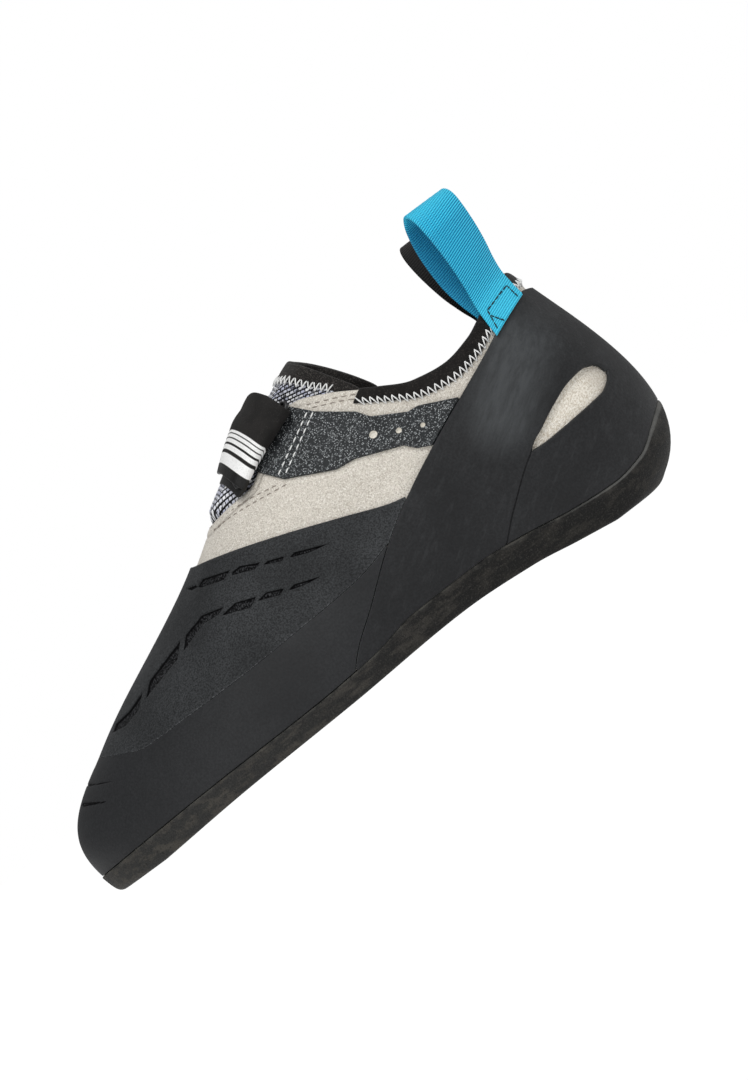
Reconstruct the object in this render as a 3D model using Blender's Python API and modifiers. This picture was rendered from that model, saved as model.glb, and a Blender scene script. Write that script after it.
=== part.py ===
"""Low climbing shoe for the left foot, closed by one strap; toe towards -X, outer side towards -Y."""
import bpy
import bmesh
import numpy as np
from mathutils import Vector

MM = 0.001
CENTRE = (125.13, -0.70)
INSIDE = (135.0, 0.0, 30.0)
GAP = 0.3
WALL = 1.8
RAND = 1.5
PANEL = 0.8
RIM = 2.0
TAPE = 1.0
TONGUE = 2.4
TONGUE_PROUD = 1.4
TONGUE_FRONT, TONGUE_TUCK_BACK = 93.0, 162.0
TONGUE_TUCK = 1.6
TONGUE_LEAST = 0.12
TONGUE_ROWS = 13
TONGUE_ACROSS = (-1.0, -0.8, -0.64, -0.5, -0.36, -0.18, 0.0, 0.18, 0.36, 0.5, 0.64, 0.8, 1.0)
INSOLE = 2.5
STRAP = 1.5
STRAP_FRONT, STRAP_BACK = 116.8, 145.0
STRAP_UNDER, STRAP_SKEW = 2.6, 2.4
STRAP_RISE, STRAP_BULGE = 2.4, 0.9
RING_WIRE = 1.4
RING_REACH = 0.03
LOOP_TAPE = 1.4
LOOP_WIDTH = 17.0
LOOP_AT = 225.0
LOOP_TURN, LOOP_LEVEL, LOOP_TALL = 8.0, 30.0, 36.0
LOOP_FLARE = 3.4
BINDING = 5.6
TREAD_OUT, TREAD_UP = 0.65, 0.22
INSOLE_INSET = 0.4
COLUMNS_ROUND = 96
LEVELS_UP = 9
SPANS = {
    "upper": [(0, 96)], "toe_rand": [(-31, 31)], "toe_patch": [(3, 34), (-34, -3)],
    "heel_sling": [(20, 76)], "heel_cup": [(30, 66)], "side_panel": [(24, 38)],
    "collar_binding": [(32, 64)], "collar_binding_slot": [(31, 65)],
}

FORM = ("foot_x", "foot_z", "lat_foot", "med_foot", "lat_wall", "med_wall", "wall_x", "wall_z",
        "top_x", "top_y", "top_z", "lat_round", "med_round", "drop", "tread")
SECTIONS = {
    "toe_tip":   (3.4, 5.0, 13.0, 13.0, 13.0, 13.0, -0.8, 21.0, 21.0, 12.0, 37.4, 0.80, 0.80, 0.0, -1.0),
    "toe_side":  (13.5, 5.0, -10.0, 30.0, -11.0, 32.0, 10.5, 20.0, 26.0, 12.0, 40.2, 0.75, 0.70, 0.0, 0.0),
    "toes":      (42.0, 6.5, -30.0, 39.0, -32.0, 41.5, 40.0, 22.0, 45.0, 11.0, 50.6, 0.64, 0.68, 0.0, 0.8),
    "ball":      (80.0, 8.0, -42.5, 41.5, -45.0, 43.0, 80.0, 26.0, 84.0, 9.0, 69.6, 0.60, 0.68, 0.0, 0.8),
    "instep":    (120.0, 9.5, -40.5, 32.5, -43.0, 35.5, 119.0, 32.0, 113.0, 6.0, 88.0, 0.60, 0.66, 0.0, 0.6),
    "waist":     (158.0, 10.5, -33.0, 25.0, -36.5, 29.5, 157.0, 40.0, 150.0, 3.0, 104.8, 0.66, 0.72, 0.0, 0.6),
    "ankle":     (193.0, 8.0, -28.5, 25.5, -34.0, 32.0, 194.0, 34.0, 188.0, 1.0, 121.0, 0.86, 0.86, 8.0, 0.5),
    "heel_side": (222.0, 4.6, -21.5, 20.5, -30.0, 29.0, 232.0, 26.0, 218.0, 0.0, 122.0, 0.87, 0.87, 14.0, -1.5),
    "heel_back": (235.0, 4.6, 0.0, 0.0, 0.0, 0.0, 264.0, 22.0, 222.0, 0.0, 118.0, 0.41, 0.41, 48.0, -7.0),
}
HEEL = len(SECTIONS) - 1
LAP = 2 * HEEL

SIDE = ("x", "z")
SOLE_UNDER = ((22, 0.0), (60, 2.6), (106, 4.3), (155, 6.6), (182, 4.9), (199, 2.2), (214, 0.0))
SOLE_TOP = ((2, 8.3), (50, 10.3), (95, 11.3), (120, 13.0), (140, 16.3), (168, 16.7), (185, 15.0),
            (205, 12.0), (220, 11.0), (232, 13.2), (241, 19.0), (250, 26.0))
RAND_TOP = ((22, 41.5), (30, 37.5), (42, 33.3), (75, 33.3), (105, 34.5), (130, 36.2), (147, 40.0))
PATCH_TOP = ((86, 73.2), (92, 72.4), (100, 70.5), (120, 64.0), (140, 56.5), (157, 50.2), (162, 49.2))
SLING_TOP = ((110, 8.0), (113, 13.5), (130, 27.0), (147, 40.0), (162, 49.2), (180, 58.0), (210, 71.0),
             (232, 81.0))
TEAR_TOP = ((203, 5.0), (206, 37.4), (215, 42.0), (225, 45.5), (234, 47.7), (238.5, 46.0), (241, 41.0))
CUP_TOP = ((174, 13.0), (187, 23.5), (203, 35.4), (206, 36.4), (215, 36.0), (230, 36.0), (237, 38.0),
           (241, 41.0))
PANEL_TOP = ((126, 86.0), (148, 97.3), (153, 91.5), (160, 85.5), (165, 82.0), (168, 78.0), (179, 71.5),
             (196, 65.4))
PANEL_LOW = ((126, 86.0), (132, 78.5), (148, 70.5), (156, 69.6), (170, 64.0), (173, 60.5), (180, 57.0),
             (196, 62.0))
TOPLINE = ((100.5, 81.0), (110, 82.4), (121, 83.3), (127, 86.5), (138, 92.2), (149, 97.8), (160, 93.6),
           (171, 87.0), (176, 83.9), (187, 78.3), (199, 76.5), (210, 78.6), (218, 82.2), (233, 88.7))
RIM_LATERAL = ((156, 109.0), (159, 106.2), (163, 101.0), (166.5, 94.8), (168.5, 90.0))
RIM_MEDIAL = ((156, 109.6), (160, 106.8), (165, 102.0), (169.5, 96.4), (173, 90.6), (174.5, 86.0))

STRAP_RUN = ("side", "height", "lift")
STRAP_PATH = (
    (-1, 0.66, 1.2), (-1, 0.74, 1.3), (-1, 0.80, 2.0), (-1, 0.86, 2.8), (-1, 0.93, 3.0), (1, 1.00, 3.0),
    (1, 0.93, 3.0), (1, 0.86, 2.8), (1, 0.795, 2.6), (1, 0.764, 2.9), (1, 0.750, 3.9), (1, 0.749, 5.2),
    (1, 0.760, 6.4), (1, 0.788, 7.0), (1, 0.86, 6.6), (1, 0.93, 6.1), (1, 1.00, 5.9), (-1, 0.93, 5.8),
    (-1, 0.86, 5.6), (-1, 0.80, 4.8), (-1, 0.75, 3.9),
)
RING_BAR = ("height", "lift")
RING_BARS = ((0.800, 4.3), (0.772, 4.4))
LOOP_RUN = ("out", "up")
LOOP_PATH = ((2.4, -8.5), (2.4, -3.0), (2.5, 3.0), (3.5, 9.0), (4.5, 15.0), (4.5, 21.5), (3.3, 28.5),
             (1.4, 33.6), (-1.2, 36.2), (-4.6, 36.4), (-8.6, 32.0), (-11.0, 24.0), (-10.4, 14.0), (-7.4, 6.5),
             (-4.7, 1.5), (-4.3, -4.0), (-4.3, -9.0))
LOOPS = {
    "pull_loop_lateral": dict(side=1, height=1.07, lean=1.5),
    "pull_loop_medial": dict(side=-1, height=0.88, lean=-6.0),
}
COLOURS = {
    "outsole": (0.040, 0.036, 0.031), "insole": (0.30, 0.29, 0.27), "upper": (0.62, 0.57, 0.51),
    "tongue": (0.35, 0.36, 0.40), "toe_rand": (0.030, 0.032, 0.034), "toe_patch": (0.033, 0.035, 0.037),
    "heel_sling": (0.031, 0.033, 0.035), "heel_cup": (0.030, 0.032, 0.034),
    "side_panel": (0.045, 0.055, 0.062),
    "collar_binding": (0.012, 0.011, 0.010),
    "strap": (0.013, 0.012, 0.012), "strap_ring": (0.02, 0.02, 0.02),
    "pull_loop_lateral": (0.013, 0.35, 0.61), "pull_loop_medial": (0.012, 0.012, 0.012),
}


def side_curve(rows):
    """Height along the shoe through rows of x and z: smooth, level past its ends, without overshoot."""
    x, z = np.array(rows, float).T
    step = np.diff(x)
    rise = np.diff(z) / step
    both = rise[:-1] * rise[1:]
    inner = np.where(both > 0, 2 * both / np.where(both > 0, rise[:-1] + rise[1:], 1), 0)
    tangent = np.concatenate([rise[:1], inner, rise[-1:]])

    def height(at):
        at = np.clip(at, x[0], x[-1])
        i = np.clip(np.searchsorted(x, at) - 1, 0, len(step) - 1)
        s = (at - x[i]) / step[i]
        start = (1 - s) ** 2 * ((1 + 2 * s) * z[i] + s * step[i] * tangent[i])
        end = s ** 2 * ((3 - 2 * s) * z[i + 1] - (1 - s) * step[i] * tangent[i + 1])
        return start + end
    return height


def control_rows():
    """Four Bezier points for each station, once round: toe, lateral side, heel, medial side."""
    table = {name: np.array(column) for name, column in zip(FORM, zip(*SECTIONS.values()))}
    slope = np.gradient(table["top_z"], table["top_x"])
    slope[-3:] = 0.0
    sides = []
    for side in ("lat", "med"):
        foot = np.stack([table["foot_x"], table[side + "_foot"], table["foot_z"]], 1)
        wall = np.stack([table["wall_x"], table[side + "_wall"], table["wall_z"]], 1)
        top = np.stack([table["top_x"], table["top_y"], table["top_z"]], 1)
        shoulder = top + (wall - top) * table[side + "_round"][:, None]
        shoulder[:, 2] = top[:, 2] + slope * (shoulder[:, 0] - top[:, 0]) - table["drop"]
        tread = np.repeat(table["tread"][:, None], 3, 1)
        sides.append(np.concatenate([foot, wall, shoulder, top, tread], 1))
    return np.concatenate([sides[0], sides[1][-2:0:-1]])


def spline_bends(rows):
    """Second differences of the periodic cubic spline through evenly spaced rows."""
    eye = np.eye(len(rows))
    system = 4 * eye + np.roll(eye, 1, axis=0) + np.roll(eye, -1, axis=0)
    return np.linalg.solve(system, 6 * (np.roll(rows, -1, axis=0) - 2 * rows + np.roll(rows, 1, axis=0)))


ROWS = control_rows()
BENDS = spline_bends(ROWS)


def control_points(t):
    """Bezier points and tread at t: 0 at the toe, then the lateral side, the heel and the medial side."""
    t = np.asarray(t, float) % LAP
    i = np.floor(t).astype(int) % LAP
    j = (i + 1) % LAP
    b = (t - np.floor(t))[..., None]
    a = 1 - b
    p = a * ROWS[i] + b * ROWS[j] + ((a ** 3 - a) * BENDS[i] + (b ** 3 - b) * BENDS[j]) / 6
    return p.reshape(p.shape[:-1] + (5, 3))


def last_surface(t, h):
    """Point of the last at t round it and h up it: 0 at the sole, 1 on the crest."""
    c = control_points(t)
    h = np.asarray(h, float)[..., None]
    g = 1 - h
    ends = g ** 3 * c[..., 0, :] + h ** 3 * c[..., 3, :]
    return ends + 3 * g * g * h * c[..., 1, :] + 3 * g * h * h * c[..., 2, :]


def sheet_normal(t, h, step=0.001):
    """Normal of one side of the last."""
    h = np.clip(h, step, 1 - 5 * step)
    along = last_surface(t + step, h) - last_surface(t - step, h)
    rise = last_surface(t, h + step) - last_surface(t, h - step)
    n = np.cross(along, rise)
    return n / np.linalg.norm(n, axis=-1, keepdims=True)


def last_normal(t, h):
    """Outward normal of the last, shared by both sides on the crest."""
    crest = np.clip((np.asarray(h) - 0.97) / 0.03, 0, 1)[..., None]
    n = sheet_normal(t, h) + crest * sheet_normal(-np.asarray(t), h)
    return n / np.linalg.norm(n, axis=-1, keepdims=True)


def off_last(t, h, lift):
    """Point lifted off the last along its normal."""
    t, h, lift = np.broadcast_arrays(np.asarray(t, float), h, lift)
    return last_surface(t, h) + lift[..., None] * last_normal(t, h)


def height_at(t, curve):
    """How far up each column of the last first rises above a side curve; 1 where it never does."""
    h = np.linspace(0, 1, 321)
    p = last_surface(np.asarray(t)[:, None], h[None])
    over = p[..., 2] - curve(p[..., 0])
    above = over >= 0
    first = np.argmax(above, axis=1)
    k = np.clip(first, 1, None)
    row = np.arange(len(over))
    part = over[row, k - 1] / (over[row, k - 1] - over[row, k])
    found = np.where(first == 0, 0.0, h[k - 1] + part * (h[1] - h[0]))
    return np.where(above.any(axis=1), found, 1.0)


def add_object(name, mesh, collection):
    obj = bpy.data.objects.new(name, mesh)
    collection.objects.link(obj)
    return obj


def as_mesh(name, points, faces):
    """Mesh from points in millimetres of the shoe, welded where points meet."""
    points = (np.asarray(points) - (CENTRE[0], CENTRE[1], 0.0)) * MM
    mesh = bpy.data.meshes.new(name)
    mesh.from_pydata(points.tolist(), [], faces)
    tidy = bmesh.new()
    tidy.from_mesh(mesh)
    bmesh.ops.remove_doubles(tidy, verts=tidy.verts, dist=0.00001)
    bmesh.ops.dissolve_degenerate(tidy, edges=tidy.edges, dist=0.000005)
    bmesh.ops.recalc_face_normals(tidy, faces=tidy.faces)
    tidy.to_mesh(mesh)
    tidy.free()
    return mesh


def grid_faces(columns, rows, start=0):
    corners = [start + i * rows + j for i in range(columns - 1) for j in range(rows - 1)]
    return [(a, a + rows, a + rows + 1, a + 1) for a in corners]


def thicken(obj, thickness, side):
    """Solidify an open surface; side -1 grows it inward, 1 outward, as its normals point."""
    shell = obj.modifiers.new("thickness", "SOLIDIFY")
    shell.thickness = thickness * MM
    shell.offset = side
    return obj


def outward(mesh, inside):
    """Turn an open surface so that its normals point away from a place inside the shoe."""
    inside = (np.asarray(inside) - (CENTRE[0], CENTRE[1], 0.0)) * MM
    votes = sum(face.area * face.normal.dot(face.center - Vector(inside)) for face in mesh.polygons)
    if votes < 0:
        mesh.flip_normals()
    return mesh


def cover(name, lower, upper, lift, thickness, collection):
    """Shell over the last between two side curves, in its runs of columns; lift is the face that others lie on.

    A thickness above zero grows away from the foot, one below zero towards it.

    Every cover has its points on the same columns and levels, so that neighbours keep their distance."""
    levels = np.linspace(0, 1, LEVELS_UP + 1)
    points = []
    faces = []
    for first, last in SPANS[name]:
        t = np.arange(first, last + 1) * LAP / COLUMNS_ROUND
        low = height_at(t, lower)
        high = height_at(t, upper)
        keep = high - low > 0.012
        t, low, high = t[keep], low[keep], high[keep]
        h = np.clip(levels, low[:, None], high[:, None])
        start = len(points)
        points.extend(off_last(t[:, None], h, lift).reshape(-1, 3))
        faces.extend(grid_faces(len(t), LEVELS_UP + 1, start))
    mesh = outward(as_mesh(name, points, faces), INSIDE)
    return thicken(add_object(name, mesh, collection), abs(thickness), np.sign(thickness))


def ladder(count, base, flip):
    """Faces that close a ring of columns straight across the shoe."""
    half = count // 2
    faces = [(base, base + 1, base + count - 1)]
    for k in range(1, half - 1):
        faces.append((base + k, base + k + 1, base + count - k - 1, base + count - k))
    faces.append((base + half - 1, base + half, base + half + 1))
    return [face[::-1] for face in faces] if flip else faces


def ring_loft(name, rings, collection):
    """Closed solid through rings of columns, closed across the first and the last."""
    count = len(rings[0])
    faces = ladder(count, 0, False) + ladder(count, count * (len(rings) - 1), True)
    for r in range(len(rings) - 1):
        for k in range(count):
            n = (k + 1) % count
            faces.append((r * count + k, (r + 1) * count + k, (r + 1) * count + n, r * count + n))
    return add_object(name, as_mesh(name, np.concatenate(rings), faces), collection)


def foot_ring(t, offset, z):
    """Ring at the foot line of the last, moved sideways by an offset and set to a height."""
    foot = control_points(t)[:, 0]
    along = control_points(t + 0.01)[:, 0] - control_points(t - 0.01)[:, 0]
    side = np.stack([along[:, 1], -along[:, 0], 0 * t], 1)
    side /= np.linalg.norm(side, axis=1, keepdims=True)
    away = np.sign((side * (foot - INSIDE)).sum(1))
    ring = foot + side * (offset * away)[:, None]
    ring[:, 2] = z
    return ring


def make_outsole(collection):
    """Tray: tread flat at toe and heel, arched between, with a rim up the side of the last."""
    t = np.arange(COLUMNS_ROUND) * LAP / COLUMNS_ROUND
    foot = control_points(t)[:, 0]
    edge = control_points(t)[:, 4, 0]
    rim = height_at(t, side_curve(SOLE_TOP))
    tread = foot_ring(t, edge, 0.0)
    tread[:, 2] = side_curve(SOLE_UNDER)(tread[:, 0])
    outer = GAP + RIM
    wall = off_last(t, 0 * t, outer)
    turn = tread + TREAD_OUT * (wall - tread)
    turn[:, 2] = tread[:, 2] + TREAD_UP * (wall[:, 2] - tread[:, 2])
    inner = off_last(t, 0 * t, GAP)
    inner[:, 2] = foot[:, 2] - GAP
    levels = (0.0, 0.35, 0.7, 1.0)
    rings = [tread, turn]
    rings += [off_last(t, level * rim, outer) for level in levels]
    rings += [off_last(t, level * rim, GAP) for level in levels[:0:-1]]
    rings.append(inner)
    return ring_loft("outsole", rings, collection)


def make_insole(collection):
    t = np.arange(COLUMNS_ROUND) * LAP / COLUMNS_ROUND
    foot_z = control_points(t)[:, 0, 2]
    inset = -(WALL + 2 * GAP + INSOLE_INSET)
    rings = [foot_ring(t, inset, foot_z), foot_ring(t, inset, foot_z + INSOLE)]
    return ring_loft("insole", rings, collection)


def cut(obj, tool):
    """Subtract a tool, kept as a wire."""
    tool.hide_render = True
    tool.display_type = "WIRE"
    boolean = obj.modifiers.new("cut", "BOOLEAN")
    boolean.operation = "DIFFERENCE"
    boolean.solver = "EXACT"
    boolean.object = tool
    return obj


def column_for_crest(x):
    """Lateral column whose crest lies at x."""
    t = np.linspace(0, HEEL, 1601)
    return np.interp(x, last_surface(t, 1 + 0 * t)[:, 0], t)


def make_tongue(collection):
    """Padded sheet under the throat, wider than it, swelling out of it, up to the rim before the collar."""
    start = column_for_crest(TONGUE_FRONT)
    fine = np.linspace(start, HEEL - 2.0, 401)
    opening = 1 - height_at(fine, side_curve(TOPLINE))
    half = np.maximum(TONGUE_TUCK * opening, TONGUE_LEAST)
    puff = np.clip(opening / TONGUE_LEAST, 0, 1)
    under = -(WALL + 3 * GAP)
    points = []
    for across in TONGUE_ACROSS:
        side = np.where(across > 0, -1.0, 1.0)
        rim = RIM_MEDIAL if across > 0 else RIM_LATERAL
        p = last_surface(side * fine, 1 - abs(across) * half)
        back = rim[-1][0] if abs(across) < 0.6 else TONGUE_TUCK_BACK
        past = (p[:, 2] >= side_curve(rim)(p[:, 0])) | (p[:, 0] > back)
        t = np.linspace(start, fine[np.argmax(past)], TONGUE_ROWS)
        inside = np.clip((0.56 - abs(across)) / 0.26, 0, 1)
        swell = inside * inside * (3 - 2 * inside) * np.interp(t, fine, puff)
        lift = under + (TONGUE_PROUD - under) * swell
        points.extend(off_last(side * t, 1 - abs(across) * np.interp(t, fine, half), lift))
    mesh = outward(as_mesh("tongue", points, grid_faces(len(TONGUE_ACROSS), TONGUE_ROWS)), INSIDE)
    return thicken(add_object("tongue", mesh, collection), TONGUE, -1.0)


def make_strap(collection):
    """Strap from the medial side over the tongue, round the ring and back over itself."""
    side, height, lift = np.array(STRAP_PATH).T
    upper = np.where(lift > 3.1, 1.0, 0.0)
    over = np.clip((height - 0.8) / 0.2, 0, 1)
    shares = np.linspace(0, 1, 7)
    points = []
    for s in shares:
        x = STRAP_FRONT + (STRAP_BACK - STRAP_FRONT) * s
        x = x - STRAP_SKEW * s * over - STRAP_UNDER * (1 - s) * (1 - upper)
        raised = lift + upper * (STRAP_RISE * (s - 0.25) + STRAP_BULGE * np.sin(np.pi * s))
        points.append(off_last(column_for_crest(x) * side, height, raised))
    mesh = as_mesh("strap", np.concatenate(points), grid_faces(len(shares), len(side)))
    return thicken(add_object("strap", mesh, collection), STRAP, 0.0)


def make_ring(collection):
    """Flat wire ring that the strap turns round, inside its fold."""
    front = column_for_crest(STRAP_FRONT) - RING_REACH
    back = column_for_crest(STRAP_BACK) + RING_REACH
    bar = np.linspace(front, back, 6)
    ways = (bar, bar[::-1])
    rows = zip(ways, RING_BARS)
    path = np.concatenate([off_last(way, height + 0 * way, lift) for way, (height, lift) in rows])
    line = bpy.data.curves.new("strap_ring_line", "CURVE")
    line.dimensions = "3D"
    line.bevel_depth = RING_WIRE / 2 * MM
    line.bevel_resolution = 1
    spline = line.splines.new("POLY")
    spline.points.add(len(path) - 1)
    for point, place in zip(spline.points, (path - (CENTRE[0], CENTRE[1], 0.0)) * MM):
        point.co = (*place, 1.0)
    spline.use_cyclic_u = True
    wire = bpy.data.objects.new("strap_ring_line", line)
    mesh = bpy.data.meshes.new_from_object(wire)
    tidy = bmesh.new()
    tidy.from_mesh(mesh)
    bmesh.ops.remove_doubles(tidy, verts=tidy.verts, dist=0.00001)
    tidy.to_mesh(mesh)
    tidy.free()
    bpy.data.objects.remove(wire)
    return add_object("strap_ring", mesh, collection)


def make_loop(name, side, height, lean, collection):
    """Webbing loop that straddles the collar: up the outside, over and down the inside."""
    out, up = np.array(LOOP_PATH).T
    t = np.linspace(HEEL / 2, HEEL, 801)
    edge_h = height_at(t, side_curve(TOPLINE))
    edge = last_surface(t, edge_h)
    run = np.concatenate([[0], np.cumsum(np.linalg.norm(np.diff(edge, axis=0), axis=1))])
    middle = np.interp(LOOP_AT, edge[:, 0], run)
    shares = np.linspace(0, 1, 5)
    columns = np.interp(middle + (shares - 0.5) * LOOP_WIDTH, run, t)
    centre_t = np.array([np.interp(middle, run, t)]) * side
    facing = last_normal(centre_t, height_at(centre_t, side_curve(TOPLINE)))[0]
    facing[2] = 0.0
    facing /= np.linalg.norm(facing)
    level = np.interp(middle, run, edge[:, 2])
    points = []
    for column, back in zip(columns, shares):
        t_here = np.array([column * side])
        top = height_at(t_here, side_curve(TOPLINE))
        rim = last_surface(t_here, top)[0]
        span = np.linalg.norm(last_surface(t_here, top) - last_surface(t_here, top - 0.05)) / 0.05
        rubber = height_at(t_here, lambda x: side_curve(SLING_TOP)(x) + 2 * GAP)
        for o, u in zip(out, up):
            h = np.maximum(top + min(u, 0.0) / span, rubber)
            wall = last_surface(t_here, h)[0]
            n = last_normal(t_here, h)[0]
            turn = min(max(u / LOOP_TURN, 0.0), 1.0)
            direction = (1 - turn) * n + turn * facing
            rise = max(u, 0.0) * height
            even = (level - rim[2]) * min(max(u, 0.0) / LOOP_LEVEL, 1.0)
            shift = lean * (rise / LOOP_TALL) ** 1.5 + LOOP_FLARE * (back - 0.2) * min(rise / LOOP_TALL, 1.0)
            points.append(wall + o * direction + (shift, 0.0, rise + even))
    mesh = as_mesh(name, points, grid_faces(len(columns), len(out)))
    return thicken(add_object(name, mesh, collection), LOOP_TAPE, 0.0)


def paint(obj):
    material = bpy.data.materials.new(obj.name)
    material.use_nodes = True
    shader = material.node_tree.nodes["Principled BSDF"]
    shader.inputs["Base Color"].default_value = (*COLOURS[obj.name], 1.0)
    shader.inputs["Roughness"].default_value = 0.8
    obj.data.materials.append(material)


def main():
    for obj in list(bpy.data.objects):
        bpy.data.objects.remove(obj)
    parts = bpy.data.collections.new("climbing_shoe")
    cutters = bpy.data.collections.new("cutters")
    for collection in (parts, cutters):
        bpy.context.scene.collection.children.link(collection)

    seam = GAP * 0.65
    rim_top = side_curve(SOLE_TOP)
    rand_top = side_curve(RAND_TOP)
    patch_top = side_curve(PATCH_TOP)
    sling_top = side_curve(SLING_TOP)
    tear_top = side_curve(TEAR_TOP)
    cup_top = side_curve(CUP_TOP)
    panel_top = side_curve(PANEL_TOP)
    panel_low = side_curve(PANEL_LOW)
    topline = side_curve(TOPLINE)

    def sole_top(x):
        return rim_top(x) + GAP

    make_outsole(parts)
    make_insole(parts)
    cover("upper", lambda x: 0 * x, topline, 0.0, -WALL, parts)
    cover("toe_rand", lambda x: np.maximum(sole_top(x), sling_top(x)) + seam,
          lambda x: rand_top(x) - seam, GAP, RAND, parts)
    cover("toe_patch", lambda x: np.maximum(rand_top(x), sling_top(x)) + seam,
          lambda x: patch_top(x) - seam, 2.4 * GAP, RAND - 1.4 * GAP, parts)
    cover("heel_sling", lambda x: np.maximum(np.maximum(sole_top(x), cup_top(x)), tear_top(x)) + seam,
          lambda x: sling_top(x) - seam, GAP, RAND, parts)
    cover("heel_cup", lambda x: sole_top(x) + seam, lambda x: cup_top(x) - seam, GAP, RAND, parts)
    cover("side_panel", lambda x: np.maximum(panel_low(x), sling_top(x)) + seam,
          lambda x: panel_top(x) - seam, 1.5 * GAP, PANEL, parts)
    make_tongue(parts)
    make_strap(parts)
    make_ring(parts)
    for name, sizes in LOOPS.items():
        make_loop(name, collection=parts, **sizes)

    binding = cover("collar_binding", lambda x: topline(x) - BINDING, lambda x: topline(x) + GAP + TAPE,
                    GAP + TAPE, -WALL - 2 * (GAP + TAPE), parts)
    slot = cover("collar_binding_slot", lambda x: topline(x) - 2 * BINDING, lambda x: topline(x) + GAP,
                 GAP, -WALL - 2 * GAP, cutters)
    cut(binding, slot)
    for obj in parts.objects:
        paint(obj)


main()
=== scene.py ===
"""Looks of a low climbing shoe for the left foot: rubber, suede, knit tongue, strap, loops and stitching."""
import math

import bmesh
import bpy
import numpy as np
from mathutils import Matrix, Vector


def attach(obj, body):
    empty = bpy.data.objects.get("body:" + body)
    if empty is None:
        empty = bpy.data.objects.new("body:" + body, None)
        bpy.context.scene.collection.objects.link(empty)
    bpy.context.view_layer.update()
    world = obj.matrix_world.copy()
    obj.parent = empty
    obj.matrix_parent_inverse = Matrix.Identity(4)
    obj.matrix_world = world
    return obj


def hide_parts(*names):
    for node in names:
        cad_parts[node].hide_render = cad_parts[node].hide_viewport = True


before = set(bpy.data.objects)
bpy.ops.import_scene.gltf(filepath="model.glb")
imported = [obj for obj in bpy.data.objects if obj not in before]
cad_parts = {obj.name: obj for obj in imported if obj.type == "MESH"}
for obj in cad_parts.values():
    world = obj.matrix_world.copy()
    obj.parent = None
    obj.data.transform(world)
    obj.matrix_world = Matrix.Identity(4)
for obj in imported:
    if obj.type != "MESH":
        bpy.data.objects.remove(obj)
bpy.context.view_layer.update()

# Lengths are in mm on the level shoe: x back from the toe, y to the inner side, z up from the floor.
MM = 0.001
CENTRE = np.array((125.13, -0.70, 0.0))
INSIDE = np.array((135.0, 0.0, 30.0))
WELD, SLIVER = 0.004 * MM, 0.002 * MM

# Walls and covers; BARE is the lift of a cover that thins out to the suede.
GAP = 0.3
SEAM = 0.03
WALL = 1.8
RUBBER = 1.8
BARE = 0.12
PANEL = 1.25
RIM = 2.0
TREAD_OUT, TREAD_UP = 0.65, 0.22
INSOLE = 2.5
INSOLE_INSET = 0.4

# Edges of the covers: radius, and the lift that they drop to.
RUBBER_FOOT = (0.35, 0.8)
RAND_EDGE = (0.12, 1.45)
PATCH_FOOT, PATCH_EDGE = (0.20, 1.35), (3.0, 0.35)
PANEL_EDGE = (0.3, BARE)
TEAR_EDGE = (0.5, BARE)
# What is cut into them: depth, and the distances from its outline where its wall starts and ends.
SLIT_CUT, GROOVE_CUT, HOLE_CUT = (0.3, 0.2, -0.15), (0.75, 0.15, -0.25), (0.85, 0.1, -0.25)

# Strap, its ring and the pull loops.
STRAP = 1.5
STRAP_FRONT, STRAP_BACK = 116.8, 145.0
STRAP_UNDER, STRAP_SKEW = 2.6, 2.4
STRAP_RISE, STRAP_BULGE, STRAP_SINK = 2.4, 0.9, 1.2
RING_WIRE = 1.4
RING_REACH = 0.03
LOOP_TAPE = 1.4
LOOP_WIDTH = 17.0
LOOP_AT = 225.0
LOOP_TURN, LOOP_LEVEL, LOOP_TALL = 8.0, 30.0, 36.0
LOOP_FLARE = 3.4
LOOP_RIB, LOOP_RIB_TALL = 0.86, 0.13

# Collar binding and tongue; TONGUE_SEEN is the share of its half width that swells into the throat.
BINDING = 5.6
TONGUE = 2.4
TONGUE_PROUD = 1.9
TONGUE_FRONT, TONGUE_TUCK_BACK = 93.0, 162.0
TONGUE_TUCK = 1.6
TONGUE_LEAST = 0.12
TONGUE_TAPE = 8.0
TONGUE_SEEN = 0.58
KNIT_LONG, KNIT_TALL, KNIT_DEEP = 1.9, 1.05, 0.36

# Radius of each thread, and the zigzags: steep is the share of the pitch that the first stroke takes.
COLLAR_THREAD, TONGUE_THREAD, PANEL_THREAD, SUEDE_THREAD, LOOP_THREAD = 0.26, 0.27, 0.26, 0.2, 0.22
COLLAR_ZIGZAG = dict(pitch=2.55, steep=0.36, rise=0.28)
TONGUE_ZIGZAG = dict(pitch=2.3, steep=0.5, rise=0.32)
COLLAR_REACH, TONGUE_REACH = 1.6, 1.7
SUEDE_LIFT = 0.02

# Columns of the meshes are counted in sixths of a station of the last.
COLUMN = 1 / 6
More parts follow.
